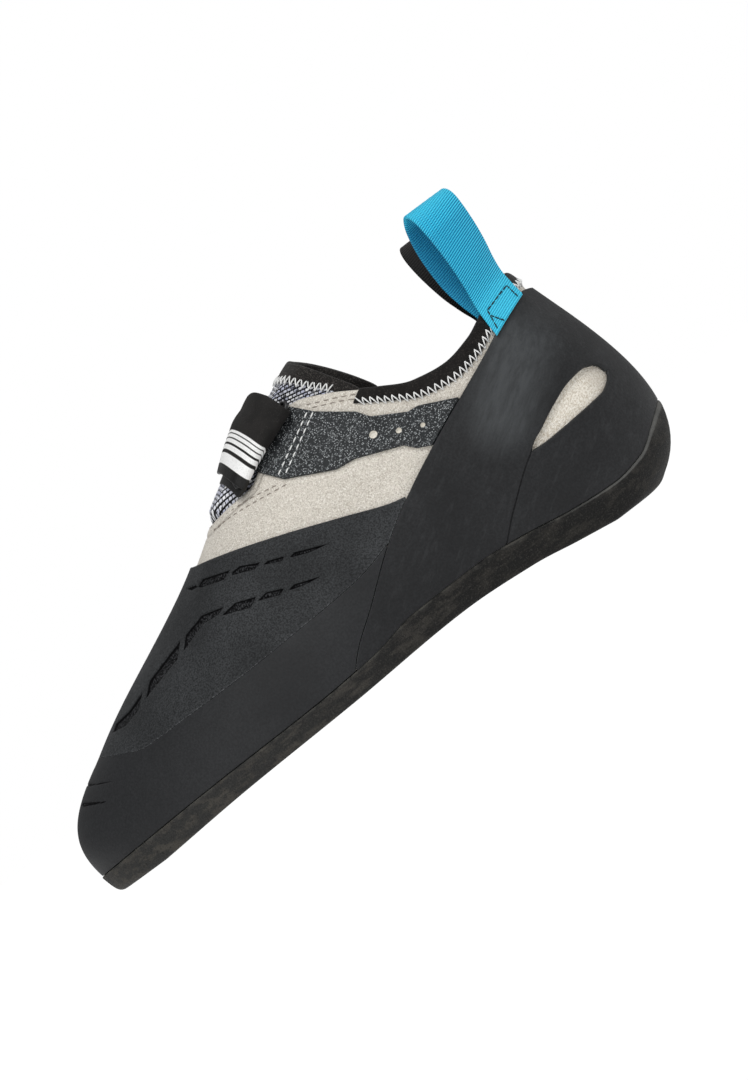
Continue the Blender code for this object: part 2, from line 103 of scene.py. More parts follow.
# Sections of the last from the toe back: names of the columns (lat outer, med inner), a row for each.
FORM = ("foot_x", "foot_z", "lat_foot", "med_foot", "lat_wall", "med_wall", "wall_x", "wall_z",
        "top_x", "top_y", "top_z", "lat_round", "med_round", "drop", "tread")
SECTIONS = {
    "toe_tip": (3.4, 5, 13, 13, 13, 13, -0.8, 21, 21, 12, 37.4, 0.80, 0.80, 0, -1),
    "toe_side": (13.5, 5, -10, 30, -11, 32, 10.5, 20, 26, 12, 40.2, 0.75, 0.70, 0, 0),
    "toes": (42, 6.5, -30, 39, -32, 41.5, 40, 22, 45, 11, 50.6, 0.64, 0.68, 0, 0.8),
    "ball": (80, 8, -42.5, 41.5, -45, 43, 80, 26, 84, 9, 69.6, 0.60, 0.68, 0, 0.8),
    "instep": (120, 9.5, -40.5, 32.5, -43, 35.5, 119, 32, 113, 6, 88, 0.60, 0.66, 0, 0.6),
    "waist": (158, 10.5, -33, 25, -36.5, 29.5, 157, 40, 150, 3, 104.8, 0.66, 0.72, 0, 0.6),
    "ankle": (193, 8, -28.5, 25.5, -34, 32, 194, 34, 188, 1, 121, 0.86, 0.86, 8, 0.5),
    "heel_side": (222, 4.6, -21.5, 20.5, -30, 29, 232, 26, 218, 0, 122, 0.87, 0.87, 14, -1.5),
    "heel_back": (235, 4.6, 0, 0, 0, 0, 264, 22, 222, 0, 118, 0.41, 0.41, 48, -7),
}
HEEL = len(SECTIONS) - 1
LAP = 2 * HEEL

# Lines in side view: rows of x and z.
SOLE_UNDER = ((22, 0.0), (60, 2.6), (106, 4.3), (155, 6.6), (182, 4.9), (199, 2.2), (214, 0.0))
SOLE_TOP = ((2, 8.3), (50, 10.3), (95, 11.3), (120, 13.0), (140, 16.3), (168, 16.7), (185, 15.0),
            (205, 12.0), (220, 11.0), (232, 13.2), (241, 19.0), (250, 26.0))
RAND_TOP = ((22, 41.5), (30, 37.5), (42, 33.3), (75, 33.3), (105, 34.5), (130, 36.2), (147, 40.0))
PATCH_TOP = ((86, 73.2), (92, 72.4), (100, 70.5), (120, 64.0), (140, 56.5), (157, 50.2), (162, 49.2))
SLING_TOP = ((110, 8.0), (113, 13.5), (130, 27.0), (147, 40.0), (162, 49.2), (180, 58.0), (210, 71.0),
             (228, 79.2), (233.5, 81.0), (237.5, 79.6))
TEAR_TOP = ((203, 5.0), (204.6, 36.1), (212, 40.2), (220, 44.1), (228, 47.0), (234, 47.8), (237.6, 46.8),
            (239.4, 44.8), (240.2, 42.2))
CUP_TOP = ((150, 5.0), (174, 13.0), (187, 23.5), (203, 35.2), (204.6, 36.0), (210, 35.7), (217, 36.0),
           (228, 36.8), (235, 37.6), (238.2, 39.2), (239.6, 40.8), (240.2, 42.2))
PANEL_TOP = ((126, 86.0), (148, 97.3), (154, 90.6), (160, 86.0), (165, 82.3), (168, 78.0), (179, 71.7),
             (183, 71.3), (196, 65.2))
PANEL_LOW = ((126, 86.0), (132, 78.5), (148, 70.5), (155, 69.7), (171, 63.4), (174, 60.0), (180, 57.0),
             (196, 62.0))
TOPLINE = ((100.5, 81.0), (110, 82.4), (121, 83.3), (127, 86.5), (138, 92.2), (149, 97.8), (160, 93.6),
           (171, 87.0), (176, 83.9), (187, 78.3), (199, 76.5), (210, 78.6), (218, 82.2), (233, 88.7))
RIM_LATERAL = ((156, 108.4), (159, 105.2), (163, 100.0), (166.5, 95.0), (170.5, 89.2))
RIM_MEDIAL = ((156, 109.0), (160, 106.0), (165, 101.4), (169.5, 96.2), (173, 90.8), (177.0, 84.0))

# Outlines of the toe cover's grooves: corners in side view.
GROOVES = (
    ((82.7, 69.3), (86.1, 68.4), (86.4, 67.4), (84.1, 67.7)),
    ((86.4, 67.4), (89.2, 68.6), (98.7, 65.4), (95.2, 63.9), (87.2, 66.6)),
    ((98.9, 64.4), (102.1, 64.5), (108.3, 61.3), (105.7, 60.5), (98.1, 63.6)),
    ((109.0, 59.9), (110.7, 60.2), (116.2, 58.0), (114.6, 57.2)),
    ((117.6, 56.7), (119.8, 57.0), (124.4, 55.0), (131.0, 52.3), (123.8, 53.9), (118.6, 56.0)),
    ((33.3, 45.3), (35.9, 47.1), (42.2, 47.8), (49.9, 50.2), (45.2, 46.0), (38.8, 44.5)),
    ((49.5, 47.7), (54.2, 51.9), (70.8, 56.5), (66.4, 52.0)),
    ((69.6, 53.0), (73.5, 56.9), (81.9, 58.9), (89.8, 56.7), (86.4, 55.8), (80.9, 56.3)),
    ((87.1, 54.8), (93.5, 55.5), (100.6, 52.8), (96.7, 51.1)),
    ((99.9, 51.4), (104.0, 52.0), (109.7, 49.4), (107.4, 48.4)),
    ((110.6, 48.0), (113.4, 48.4), (116.0, 47.3), (122.8, 45.0), (116.0, 46.1), (111.6, 47.5)),
)
# Strokes in side view: x, z and half width at one end, then at the other.
SLITS = ((15.2, 36.2, 0.30, 26.1, 30.9, 0.10), (10.6, 31.6, 0.62, 18.6, 27.4, 0.15))
FOLDS = ((235.9, 62.5, 0.5, 224.5, 54.9, 0.3), (221.0, 60.4, 0.6, 210.2, 52.4, 0.4),
         (208.0, 53.2, 0.5, 197.4, 46.8, 0.3), (194.4, 49.1, 0.3, 183.3, 43.2, 0.2))
# Where a painted highlight lies along the heel band.
PAINTED_HIGHLIGHT_STROKES = ((221.0, 66.0, 3.0, 203.0, 51.0, 2.0),)
# Holes of the panel: x, z and radius; x counts less, because they are longer than high.
HOLE_LONG = 0.86
HOLES = ((165.0, 72.7, 1.25), (172.7, 68.6, 0.9), (180.3, 65.2, 0.75))
# Seams in side view: each a line of x and z.
PANEL_SEAMS = (((131.0, 80.2), (141.5, 85.9), (152.3, 91.8)), ((133.4, 79.2), (143.6, 84.9), (153.9, 90.6)))
SUEDE_SEAMS = (((102.0, 79.4), (110, 79.5), (119, 78.6), (132.0, 76.8)),
               ((101.5, 80.8), (110, 81.1), (119, 80.4), (129.0, 78.6)),
               ((152.5, 94.6), (157, 92.6), (163, 89.9), (169.0, 86.9)),
               ((153.5, 92.7), (157, 91.1), (163, 88.4), (167.5, 86.0)))
LOOP_SEAMS = (((220.6, 83.0), (230.9, 85.9)), ((230.9, 85.9), (231.8, 80.5)),
              ((220.6, 83.0), (220.3, 81.1)), ((220.3, 81.1), (223.2, 76.7)), ((220.3, 81.1), (219.6, 75.9)))

# Strap from its sewn end: side (1 outer, -1 inner), height up the last, lift off it.
STRAP_PATH = (
    (-1, 0.66, 1.2), (-1, 0.74, 1.3), (-1, 0.80, 2.0), (-1, 0.86, 2.8), (-1, 0.93, 3.0), (1, 1.00, 3.0),
    (1, 0.93, 3.0), (1, 0.86, 2.8), (1, 0.795, 2.6), (1, 0.764, 2.9), (1, 0.750, 3.9), (1, 0.749, 5.2),
    (1, 0.760, 6.4), (1, 0.788, 7.0), (1, 0.86, 6.6), (1, 0.93, 6.1), (1, 1.00, 5.9), (-1, 0.93, 5.8),
    (-1, 0.86, 5.6), (-1, 0.80, 4.8), (-1, 0.75, 3.9),
)
# Bars of the ring: height up the last, lift off it.
RING_BARS = ((0.800, 4.3), (0.772, 4.4))
# Stripes: from and to, as shares of the strap's width; creases: height, place and width.
STRAP_STRIPES = ((0.115, 0.235), (0.275, 0.33), (0.355, 0.40), (0.415, 0.455), (0.468, 0.50))
STRAP_CREASES = ((0.30, 0.62, 0.10), (-0.25, 0.80, 0.07))
# Loop from its outer foot: out from the wall, up from the collar; then its painted light at shares of its
# run, a painted highlight above 0.5 and a painted shade below.
LOOP_PATH = ((2.4, -8.5), (2.4, -3.0), (2.5, 3.0), (3.5, 9.0), (4.5, 15.0), (4.5, 21.5), (3.3, 28.5),
             (1.4, 33.6), (-1.2, 36.2), (-4.6, 36.4), (-8.6, 32.0), (-11.0, 24.0), (-10.4, 14.0),
             (-7.4, 6.5), (-4.7, 1.5), (-4.3, -4.0), (-4.3, -9.0))
LOOP_PAINTED_LIGHT = ((0.0, 0.9), (0.09, 0.8), (0.16, 0.35), (0.36, 0.30), (0.46, 0.9), (0.51, 0.5), (0.56, 0.0),
             (0.80, 0.1), (1.0, 0.3))
LOOPS = {
    "pull_loop_lateral": dict(side=1, height=1.07, lean=1.5),
    "pull_loop_medial": dict(side=-1, height=0.88, lean=-6.0),
}
# Webbing of each loop: name, then its own colour, the ribs' painted highlight colour and the painted shade
# colour between them; these two also paint the light and shade along its run.
LOOP_CLOTH = {
    "pull_loop_lateral": ("blue_webbing", (0, 161, 207), (72, 208, 238), (0, 92, 138)),
    "pull_loop_medial": ("black_webbing", (26, 25, 25), (58, 56, 55), (8, 8, 8)),
}
# Section of the binding: lift off the last, and way up the wall from the collar's edge.
BINDING_PROFILE = ((0.1, -5.9), (0.75, -5.95), (1.2, -5.5), (1.42, -4.2), (1.45, -2.4), (1.35, -0.6),
                   (0.7, 0.7), (-0.9, 1.25), (-2.5, 0.7), (-3.15, -0.6), (-3.25, -2.4), (-3.2, -4.2),
                   (-2.95, -5.4), (-2.2, -5.9))


def side_curve(rows):
    """Height along the shoe through rows of x and z: smooth, level past its ends, without overshoot."""
    x, z = np.array(rows, float).T
    step = np.diff(x)
    rise = np.diff(z) / step
    both = rise[:-1] * rise[1:]
    inner = np.where(both > 0, 2 * both / np.where(both > 0, rise[:-1] + rise[1:], 1), 0)
    tangent = np.concatenate([rise[:1], inner, rise[-1:]])

    def height(at):
        at = np.clip(at, x[0], x[-1])
        i = np.clip(np.searchsorted(x, at) - 1, 0, len(step) - 1)
        s = (at - x[i]) / step[i]
        start = (1 - s) ** 2 * ((1 + 2 * s) * z[i] + s * step[i] * tangent[i])
        end = s ** 2 * ((3 - 2 * s) * z[i + 1] - (1 - s) * step[i] * tangent[i + 1])
        return start + end
    return height


def straight_curve(rows):
    """Height along the shoe through rows of x and z, straight between them."""
    x, z = np.array(rows, float).T
    return lambda at: np.interp(at, x, z)


rim_top = side_curve(SOLE_TOP)
rand_top = side_curve(RAND_TOP)
patch_top = side_curve(PATCH_TOP)
sling_top = side_curve(SLING_TOP)
tear_top = side_curve(TEAR_TOP)
cup_top = side_curve(CUP_TOP)
panel_top = straight_curve(PANEL_TOP)
panel_low = straight_curve(PANEL_LOW)
topline = side_curve(TOPLINE)


def control_rows():
    """Four Bezier points for each station, once round: toe, lateral side, heel, medial side."""
    table = {name: np.array(column, float) for name, column in zip(FORM, zip(*SECTIONS.values()))}
    slope = np.gradient(table["top_z"], table["top_x"])
    slope[-3:] = 0.0
    sides = []
    for side in ("lat", "med"):
        foot = np.stack([table["foot_x"], table[side + "_foot"], table["foot_z"]], 1)
        wall = np.stack([table["wall_x"], table[side + "_wall"], table["wall_z"]], 1)
        top = np.stack([table["top_x"], table["top_y"], table["top_z"]], 1)
        shoulder = top + (wall - top) * table[side + "_round"][:, None]
        shoulder[:, 2] = top[:, 2] + slope * (shoulder[:, 0] - top[:, 0]) - table["drop"]
        tread = np.repeat(table["tread"][:, None], 3, 1)
        sides.append(np.concatenate([foot, wall, shoulder, top, tread], 1))
    return np.concatenate([sides[0], sides[1][-2:0:-1]])


def spline_bends(rows):
    """Second differences of the periodic cubic spline through evenly spaced rows."""
    eye = np.eye(len(rows))
    weights = 4 * eye + np.roll(eye, 1, axis=0) + np.roll(eye, -1, axis=0)
    return np.linalg.solve(weights, 6 * (np.roll(rows, -1, axis=0) - 2 * rows + np.roll(rows, 1, axis=0)))


ROWS = control_rows()
BENDS = spline_bends(ROWS)


def control_points(t):
    """Bezier points and tread at t: 0 at the toe, up the outer side to the heel, back on the inner side."""
    t = np.asarray(t, float) % LAP
    i = np.floor(t).astype(int) % LAP
    j = (i + 1) % LAP
    b = (t - np.floor(t))[..., None]
    a = 1 - b
    p = a * ROWS[i] + b * ROWS[j] + ((a ** 3 - a) * BENDS[i] + (b ** 3 - b) * BENDS[j]) / 6
    return p.reshape(p.shape[:-1] + (5, 3))


def last_surface(t, h):
    """Point of the last at t round it and h up it: 0 at the sole, 1 on the crest."""
    c = control_points(t)
    h = np.asarray(h, float)[..., None]
    g = 1 - h
    weights = (g ** 3, 3 * g * g * h, 3 * g * h * h, h ** 3)
    return sum(weight * c[..., k, :] for k, weight in enumerate(weights))


def unit(vectors):
    """Vectors at length 1."""
    return vectors / np.maximum(np.linalg.norm(vectors, axis=-1, keepdims=True), 1e-9)


def sheet_normal(t, h, step=0.001):
    """Normal of one side of the last."""
    h = np.clip(h, step, 1 - 5 * step)
    along = last_surface(t + step, h) - last_surface(t - step, h)
    rise = last_surface(t, h + step) - last_surface(t, h - step)
    return unit(np.cross(along, rise))


def last_normal(t, h):
    """Outward normal of the last, shared by both sides on the crest."""
    crest = np.clip((np.asarray(h) - 0.97) / 0.03, 0, 1)[..., None]
    return unit(sheet_normal(t, h) + crest * sheet_normal(-np.asarray(t), h))


def off_last(t, h, lift):
    """Point lifted off the last along its normal."""
    t, h, lift = np.broadcast_arrays(np.asarray(t, float), h, lift)
    return last_surface(t, h) + lift[..., None] * last_normal(t, h)


def height_at(t, curve):
    """How far up each column of the last first rises above a side curve; 1 where it never does."""
    h = np.linspace(0, 1, 321)
    p = last_surface(np.asarray(t)[:, None], h[None])
    over = p[..., 2] - curve(p[..., 0])
    above = over >= 0
    first = np.argmax(above, axis=1)
    k = np.clip(first, 1, None)
    row = np.arange(len(over))
    part = over[row, k - 1] / (over[row, k - 1] - over[row, k])
    found = np.where(first == 0, 0.0, h[k - 1] + part * (h[1] - h[0]))
    return np.where(above.any(axis=1), found, 1.0)


def collar_edge(t):
    """Height of the top line on each column, and the mm of wall that one unit of height is there."""
    top = height_at(t, topline)
    return top, np.linalg.norm(last_surface(t, top) - last_surface(t, top - 0.05), axis=-1) / 0.05


def column_for_crest(x):
    """Lateral column whose crest lies at x."""
    t = np.linspace(0, HEEL, 1601)
    return np.interp(x, last_surface(t, 1 + 0 * t)[:, 0], t)


def on_side(x, z):
    """Column and height of the last seen at x and z from its outer side."""
    t0, h0 = np.meshgrid(np.linspace(0.3, 7.9, 153), np.linspace(0.01, 0.99, 99), indexing="ij")
    seen = last_surface(t0, h0).reshape(-1, 3)
    near = [np.argmin((seen[:, 0] - a) ** 2 + (seen[:, 2] - b) ** 2) for a, b in zip(x, z)]
    t = t0.ravel()[near]
    h = h0.ravel()[near]
    e = 1e-4
    for _ in range(6):
        p = last_surface(t, h)
        dt = (last_surface(t + e, h) - p) / e
        dh = (last_surface(t, h + e) - p) / e
        rx, rz = x - p[:, 0], z - p[:, 2]
        det = dt[:, 0] * dh[:, 2] - dt[:, 2] * dh[:, 0]
        det = np.where(np.abs(det) < 1.0, 1e9, det)
        t = t + np.clip((rx * dh[:, 2] - rz * dh[:, 0]) / det, -0.05, 0.05)
        h = np.clip(h + np.clip((rz * dt[:, 0] - rx * dt[:, 2]) / det, -0.05, 0.05), 0, 1)
    return t, h


def foot_sideways(t):
    """Foot line of the last and the level direction out of it."""
    foot = control_points(t)[:, 0]
    ahead = control_points(t + 0.01)[:, 0] - control_points(t - 0.01)[:, 0]
    out = unit(np.stack([-ahead[:, 1], ahead[:, 0], 0 * t], 1))
    return foot, out * np.sign((out * (foot - INSIDE)).sum(1))[:, None]


def smooth(value, low, high):
    """Soft step from 0 at low to 1 at high."""
    s = np.clip((np.asarray(value, float) - low) / (high - low), 0, 1)
    return s * s * (3 - 2 * s)


def bell(value, middle, wide):
    """Soft hump of height 1."""
    return np.exp(-((np.asarray(value) - middle) / wide) ** 2)


def quarter(value):
    """Rise of a rounded edge: 0 at the rim, 1 from one radius on."""
    s = np.clip(value, 0, 1)
    return np.sqrt(1 - (1 - s) ** 2)


def way_along(points, axis=0):
    """Way along lines of points, from 0, in mm."""
    step = np.linalg.norm(np.diff(points, axis=axis), axis=-1)
    start = np.zeros_like(np.take(step, [0], axis=axis))
    return np.concatenate([start, np.cumsum(step, axis=axis)], axis=axis)


def read_line(way, values, at):
    """Rows of values along a line, read at other places along it."""
    return np.stack([np.interp(at, way, values[:, k]) for k in range(values.shape[1])], 1)


def between(stops, count):
    """Points, or whole rows of points, on smooth curves through the stops, count of them to each stretch."""
    ends = [2 * stops[0] - stops[1]] + stops + [2 * stops[-1] - stops[-2]]
    for a, b, c, d in zip(ends[:-3], ends[1:-2], ends[2:-1], ends[3:]):
        for s in np.arange(count) / count:
            yield b + 0.5 * s * (c - a + s * (2 * a - 5 * b + 4 * c - d + s * (3 * (b - c) + d - a)))
    yield stops[-1]


def resample(points, count):
    """Smooth path through points, evenly sampled by length."""
    fine = np.array(list(between(list(np.asarray(points, float)), 24)))
    way = way_along(fine)
    return read_line(way, fine, np.linspace(0, way[-1], count))


def stroke_distance(x, z, rows):
    """Distance in side view from tapered strokes: below zero inside them."""
    best = np.full(np.shape(x), 1e3)
    for x0, z0, half0, x1, z1, half1 in rows:
        ax, az = x1 - x0, z1 - z0
        s = np.clip(((x - x0) * ax + (z - z0) * az) / (ax * ax + az * az), 0, 1)
        best = np.minimum(best, np.hypot(x - x0 - s * ax, z - z0 - s * az) - (half0 + s * (half1 - half0)))
    return best


def outline_distance(x, z, corners):
    """Distance in side view from a closed outline: below zero inside it."""
    inside = np.zeros(np.shape(x), bool)
    ring = list(zip(corners, corners[1:] + corners[:1]))
    for (x0, z0), (x1, z1) in ring:
        if z0 != z1:
            inside ^= ((z0 > z) != (z1 > z)) & (x < x0 + (z - z0) * (x1 - x0) / (z1 - z0))
    away = stroke_distance(x, z, [(*a, 0.0, *b, 0.0) for a, b in ring])
    return np.where(inside, -away, away)


def edge_samples(count, tight=(0.0, 0.004, 0.012, 0.026, 0.045)):
    """Shares from 0 to 1, close together at both ends."""
    tight = np.array(tight)
    middle = np.linspace(tight[-1], 1 - tight[-1], count - 2 * len(tight) + 2)[1:-1]
    return np.concatenate([tight, middle, 1 - tight[::-1]])


def grid_faces(columns, rows):
    """Faces of a grid of points, column after column."""
    i, j = np.meshgrid(np.arange(columns - 1), np.arange(rows - 1), indexing="ij")
    a = i * rows + j
    return np.stack([a, a + rows, a + rows + 1, a + 1], -1).reshape(-1, 4)


def ring_faces(rings, count):
    """Faces between closed rings of points."""
    k = np.arange(count)
    a = np.arange(rings - 1)[:, None] * count + k
    b = np.arange(rings - 1)[:, None] * count + (k + 1) % count
    return np.stack([a, b, b + count, a + count], -1).reshape(-1, 4)


def piece(name, points, faces, material, slot, nodes=(), weld=True, closed=False, **layers):
    """Mesh in millimetres of the shoe as a piece that rides on it; layers are values kept at its points."""
    mesh = bpy.data.meshes.new(name)
    points = (np.asarray(points, float).reshape(-1, 3) - CENTRE) * MM
    mesh.from_pydata(points.tolist(), [], faces.tolist() if isinstance(faces, np.ndarray) else faces)
    for key, values in layers.items():
        values = np.asarray(values, float)
        if values.shape[-1] == 3:
            mesh.attributes.new(key, "FLOAT_VECTOR", "POINT").data.foreach_set("vector", values.ravel())
        else:
            mesh.attributes.new(key, "FLOAT", "POINT").data.foreach_set("value", values.ravel())
    tidy = bmesh.new()
    tidy.from_mesh(mesh)
    if weld:
        bmesh.ops.remove_doubles(tidy, verts=tidy.verts, dist=WELD)
        bmesh.ops.dissolve_degenerate(tidy, edges=tidy.edges, dist=SLIVER)
    if closed:
        bmesh.ops.recalc_face_normals(tidy, faces=tidy.faces)
    tidy.to_mesh(mesh)
    tidy.free()
    mesh.polygons.foreach_set("use_smooth", np.ones(len(mesh.polygons), bool))
    mesh.materials.append(material)
    obj = bpy.data.objects.new(name, mesh)
    bpy.context.scene.collection.objects.link(obj)
    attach(obj, "root")
    if nodes:
        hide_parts(*nodes)
    return obj


EDGE_ROWS = np.array((0.0, 0.06, 0.15, 0.28, 0.45, 0.7, 1.0))


def rows_up(t, low, high, middle):
    """Heights up each column, close together at both edges, and the way to either edge in mm."""
    fine = low[:, None] + (high - low)[:, None] * np.linspace(0, 1, 61)
    run = way_along(last_surface(t[:, None], fine), axis=1)
    total = run[:, -1:]
    edge = EDGE_ROWS * np.minimum(1.0, total / 3.0)
    inner = edge[:, -1:] + (total - 2 * edge[:, -1:]) * np.linspace(0, 1, middle + 2)[1:-1]
    way = np.concatenate([edge, inner, total - edge[:, ::-1]], 1)
    h = np.stack([np.interp(w, r, f) for w, r, f in zip(way, run, fine)])
    return h, way, total - way


def rounded(way, radius, base, outer):
    """Lift of a cover near an edge that drops to a base."""
    return base + (outer - base) * quarter(way / radius)


def skin(t, lower, upper, outer, low_edge, up_edge, middle, cut_distance, deep, start, end):
    """Outer face of a cover between two side curves, with its edges and cuts as listed above."""
    low, high = height_at(t, lower), height_at(t, upper)
    keep = high - low > 0.004
    t, low, high = t[keep], low[keep], high[keep]
    h, from_low, from_up = rows_up(t, low, high, middle)
    from_up = np.where((high > 0.9995)[:, None], 50.0, from_up)
    t = np.repeat(t[:, None], h.shape[1], 1)
    p, n = last_surface(t, h), last_normal(t, h)
    seen = p + outer * n
    edge = np.minimum(from_low, from_up)
    lift = np.minimum(rounded(from_low, *low_edge, outer), rounded(from_up, *up_edge, outer))
    cut = cut_distance(seen[..., 0], seen[..., 2])
    lift = lift - deep * smooth(cut, start, end) * smooth(edge, 0.0, 0.4)
    points = p + lift[..., None] * n
    return dict(points=points.reshape(-1, 3), faces=grid_faces(*h.shape), edge=edge.ravel(), cut=cut.ravel())


def joined(parts):
    """Several skins as one, with their points in a row."""
    start = np.cumsum([0] + [len(part["points"]) for part in parts[:-1]])
    whole = {key: np.concatenate([part[key] for part in parts]) for key in parts[0] if key != "faces"}
    whole["faces"] = np.concatenate([part["faces"] + s for part, s in zip(parts, start)])
    return whole


def slab(centre, half, edge_round, ridge=None):
    """Closed tape round a grid of middle points, across by along, with rounded edges; ridge adds to it."""
    n = unit(np.cross(np.gradient(centre, axis=1), np.gradient(centre, axis=0)))
    width, length = way_along(centre, axis=0), way_along(centre, axis=1)
    side = np.minimum(width, width[-1:] - width)
    end = np.minimum(length, length[:, -1:] - length)
    thick = half * quarter(side / edge_round) * quarter(end / edge_round)
    if ridge is not None:
        thick = thick + ridge(length) * smooth(side, 0.0, 0.6)
    points = np.concatenate([centre + thick[..., None] * n, centre - thick[..., None] * n])
    faces = grid_faces(*centre.shape[:2])
    faces = np.concatenate([faces[:, ::-1], faces + centre.shape[0] * centre.shape[1]])
    return points, faces, length


def tube(path, radius, sides=7):
    """Points and faces of a round thread along a path, closed at its ends."""
    path = np.asarray(path, float)
    radius = np.broadcast_to(radius, len(path))
    along = unit(np.gradient(path, axis=0))
    up = unit(np.cross(along, (0.31, -0.86, 0.4)))
    turn = np.linspace(0, 2 * np.pi, sides, endpoint=False)[None, :, None]
    ring = np.cos(turn) * up[:, None] + np.sin(turn) * np.cross(along, up)[:, None]
    points = (path[:, None] + radius[:, None, None] * ring).reshape(-1, 3)
    last = len(points) - sides
    faces = ring_faces(len(path), sides).tolist()
    return points, faces + [list(range(sides))[::-1], list(range(last, last + sides))]


def threads(name, paths, radius, material, slot):
    """Many short threads as one mesh; each dips in at its ends."""
    points, faces = [], []
    for path in paths:
        swell = radius * (0.55 + 0.45 * np.sin(np.linspace(0.25, np.pi - 0.25, len(path))))
        p, f = tube(path, swell)
        faces += [[k + len(points) for k in face] for face in f]
        points += p.tolist()
    return piece(name, points, faces, material, slot, weld=False)


def dashes(lines, lift, dash=2.1, gap=0.9, rise=0.12, dip=0.16):
    """Paths of running stitches along side-view lines on the outer side."""
    bow = np.sin(np.linspace(0, np.pi, 7))[:, None]
    paths = []
    for line in lines:
        x, z = resample(line, 160).T
        t, h = on_side(x, z)
        base, n = off_last(t, h, lift), last_normal(t, h)
        way = way_along(base)
        count = round(way[-1] / (dash + gap))
        for k in range(count):
            at = (k + 0.5) * way[-1] / count + dash * np.linspace(-0.5, 0.5, 7)
            paths.append(read_line(way, base, at) + read_line(way, n, at) * (rise * bow - dip * (1 - bow)))
    return paths


def srgb(red, green, blue):
    """Colour on the usual scale of 255 as light."""
    value = np.array((red, green, blue)) / 255
    value = np.where(value <= 0.04045, value / 12.92, ((value + 0.055) / 1.055) ** 2.4)
    return (*value.tolist(), 1.0)


class Graph:
    """A material's nodes, made in short calls; tone is its colour so far."""

    def __init__(self, name, specular=0.3, sheen=0.0):
        self.material = bpy.data.materials.new(name)
        self.material.use_nodes = True
        self.tree = self.material.node_tree
        self.shader = self.tree.nodes["Principled BSDF"]
        self.shader.inputs["Specular IOR Level"].default_value = specular
        self.shader.inputs["Sheen Weight"].default_value = sheen
        self.tone = None

    def add(self, kind, inputs=(), **settings):
        """A node with its settings made and its inputs fed."""
        node = self.tree.nodes.new("ShaderNode" + kind)
        for key, value in settings.items():
            setattr(node, key, value)
        for key, value in dict(inputs).items():
            self.feed(node.inputs[key], value)
        return node

    def feed(self, socket, value):
        """Link a socket, or set its value."""
        if isinstance(value, bpy.types.NodeSocket):
            self.tree.links.new(value, socket)
        else:
            socket.default_value = value

    def mm(self, stretch=(1.0, 1.0, 1.0), turn=0.0):
        """Place in mm, turned in side view by an angle and stretched."""
        place = self.add("TexCoord").outputs["Object"]
        inputs = {"Vector": place, "Angle": math.radians(turn)}
        turned = self.add("VectorRotate", inputs, rotation_type="Y_AXIS")
        scale = tuple(1000.0 * s for s in stretch)
        return self.add("VectorMath", {0: turned.outputs[0], 1: scale}, operation="MULTIPLY").outputs[0]

    def layer(self, name, output="Fac"):
        """Values kept at the mesh's points."""
        return self.add("Attribute", attribute_name=name).outputs[output]

    def noise(self, vector, size, detail=3.0, rough=0.55):
        """Cloudy noise with lumps of a size in mm."""
        inputs = {"Vector": vector, "Scale": 1.0 / size, "Detail": detail, "Roughness": rough}
        return self.add("TexNoise", inputs).outputs[0]

    def step(self, value, low, high, start=0.0, end=1.0):
        """Soft step from start to end as value goes from low to high."""
        inputs = {"Value": value, "From Min": low, "From Max": high, "To Min": start, "To Max": end}
        return self.add("MapRange", inputs, interpolation_type="SMOOTHSTEP").outputs[0]

    def math(self, operation, a, b):
        """Sum, difference or the like of two values."""
        return self.add("Math", {0: a, 1: b}, operation=operation).outputs[0]

    def times(self, first, *others):
        """Product of values."""
        for other in others:
            first = self.math("MULTIPLY", first, other)
        return first

    def mix(self, share, a, b):
        """Tone a with a share of tone b."""
        return self.add("Mix", {0: share, 6: a, 7: b}, data_type="RGBA").outputs[2]

    def blend(self, share, a, b):
        """Colour a with a share of colour b."""
        return self.mix(share, srgb(*a), srgb(*b))

    def over(self, share, colour):
        """Lay a share of a colour over the tone."""
        self.tone = self.mix(share, self.tone, srgb(*colour))

    def tint(self, value, low, high, share, colour):
        """Lay a colour over the tone, up to a share of it as value goes from low to high."""
        self.over(self.step(value, low, high, 0.0, share), colour)

    def finish(self, roughness, height, depth):
        """The material, with its tone, a roughness and a relief of a depth in mm."""
        bump = self.add("Bump", {"Height": height, "Distance": depth * MM}).outputs[0]
        for key, value in (("Base Color", self.tone), ("Roughness", roughness), ("Normal", bump)):
            self.feed(self.shader.inputs[key], value)
        return self.material


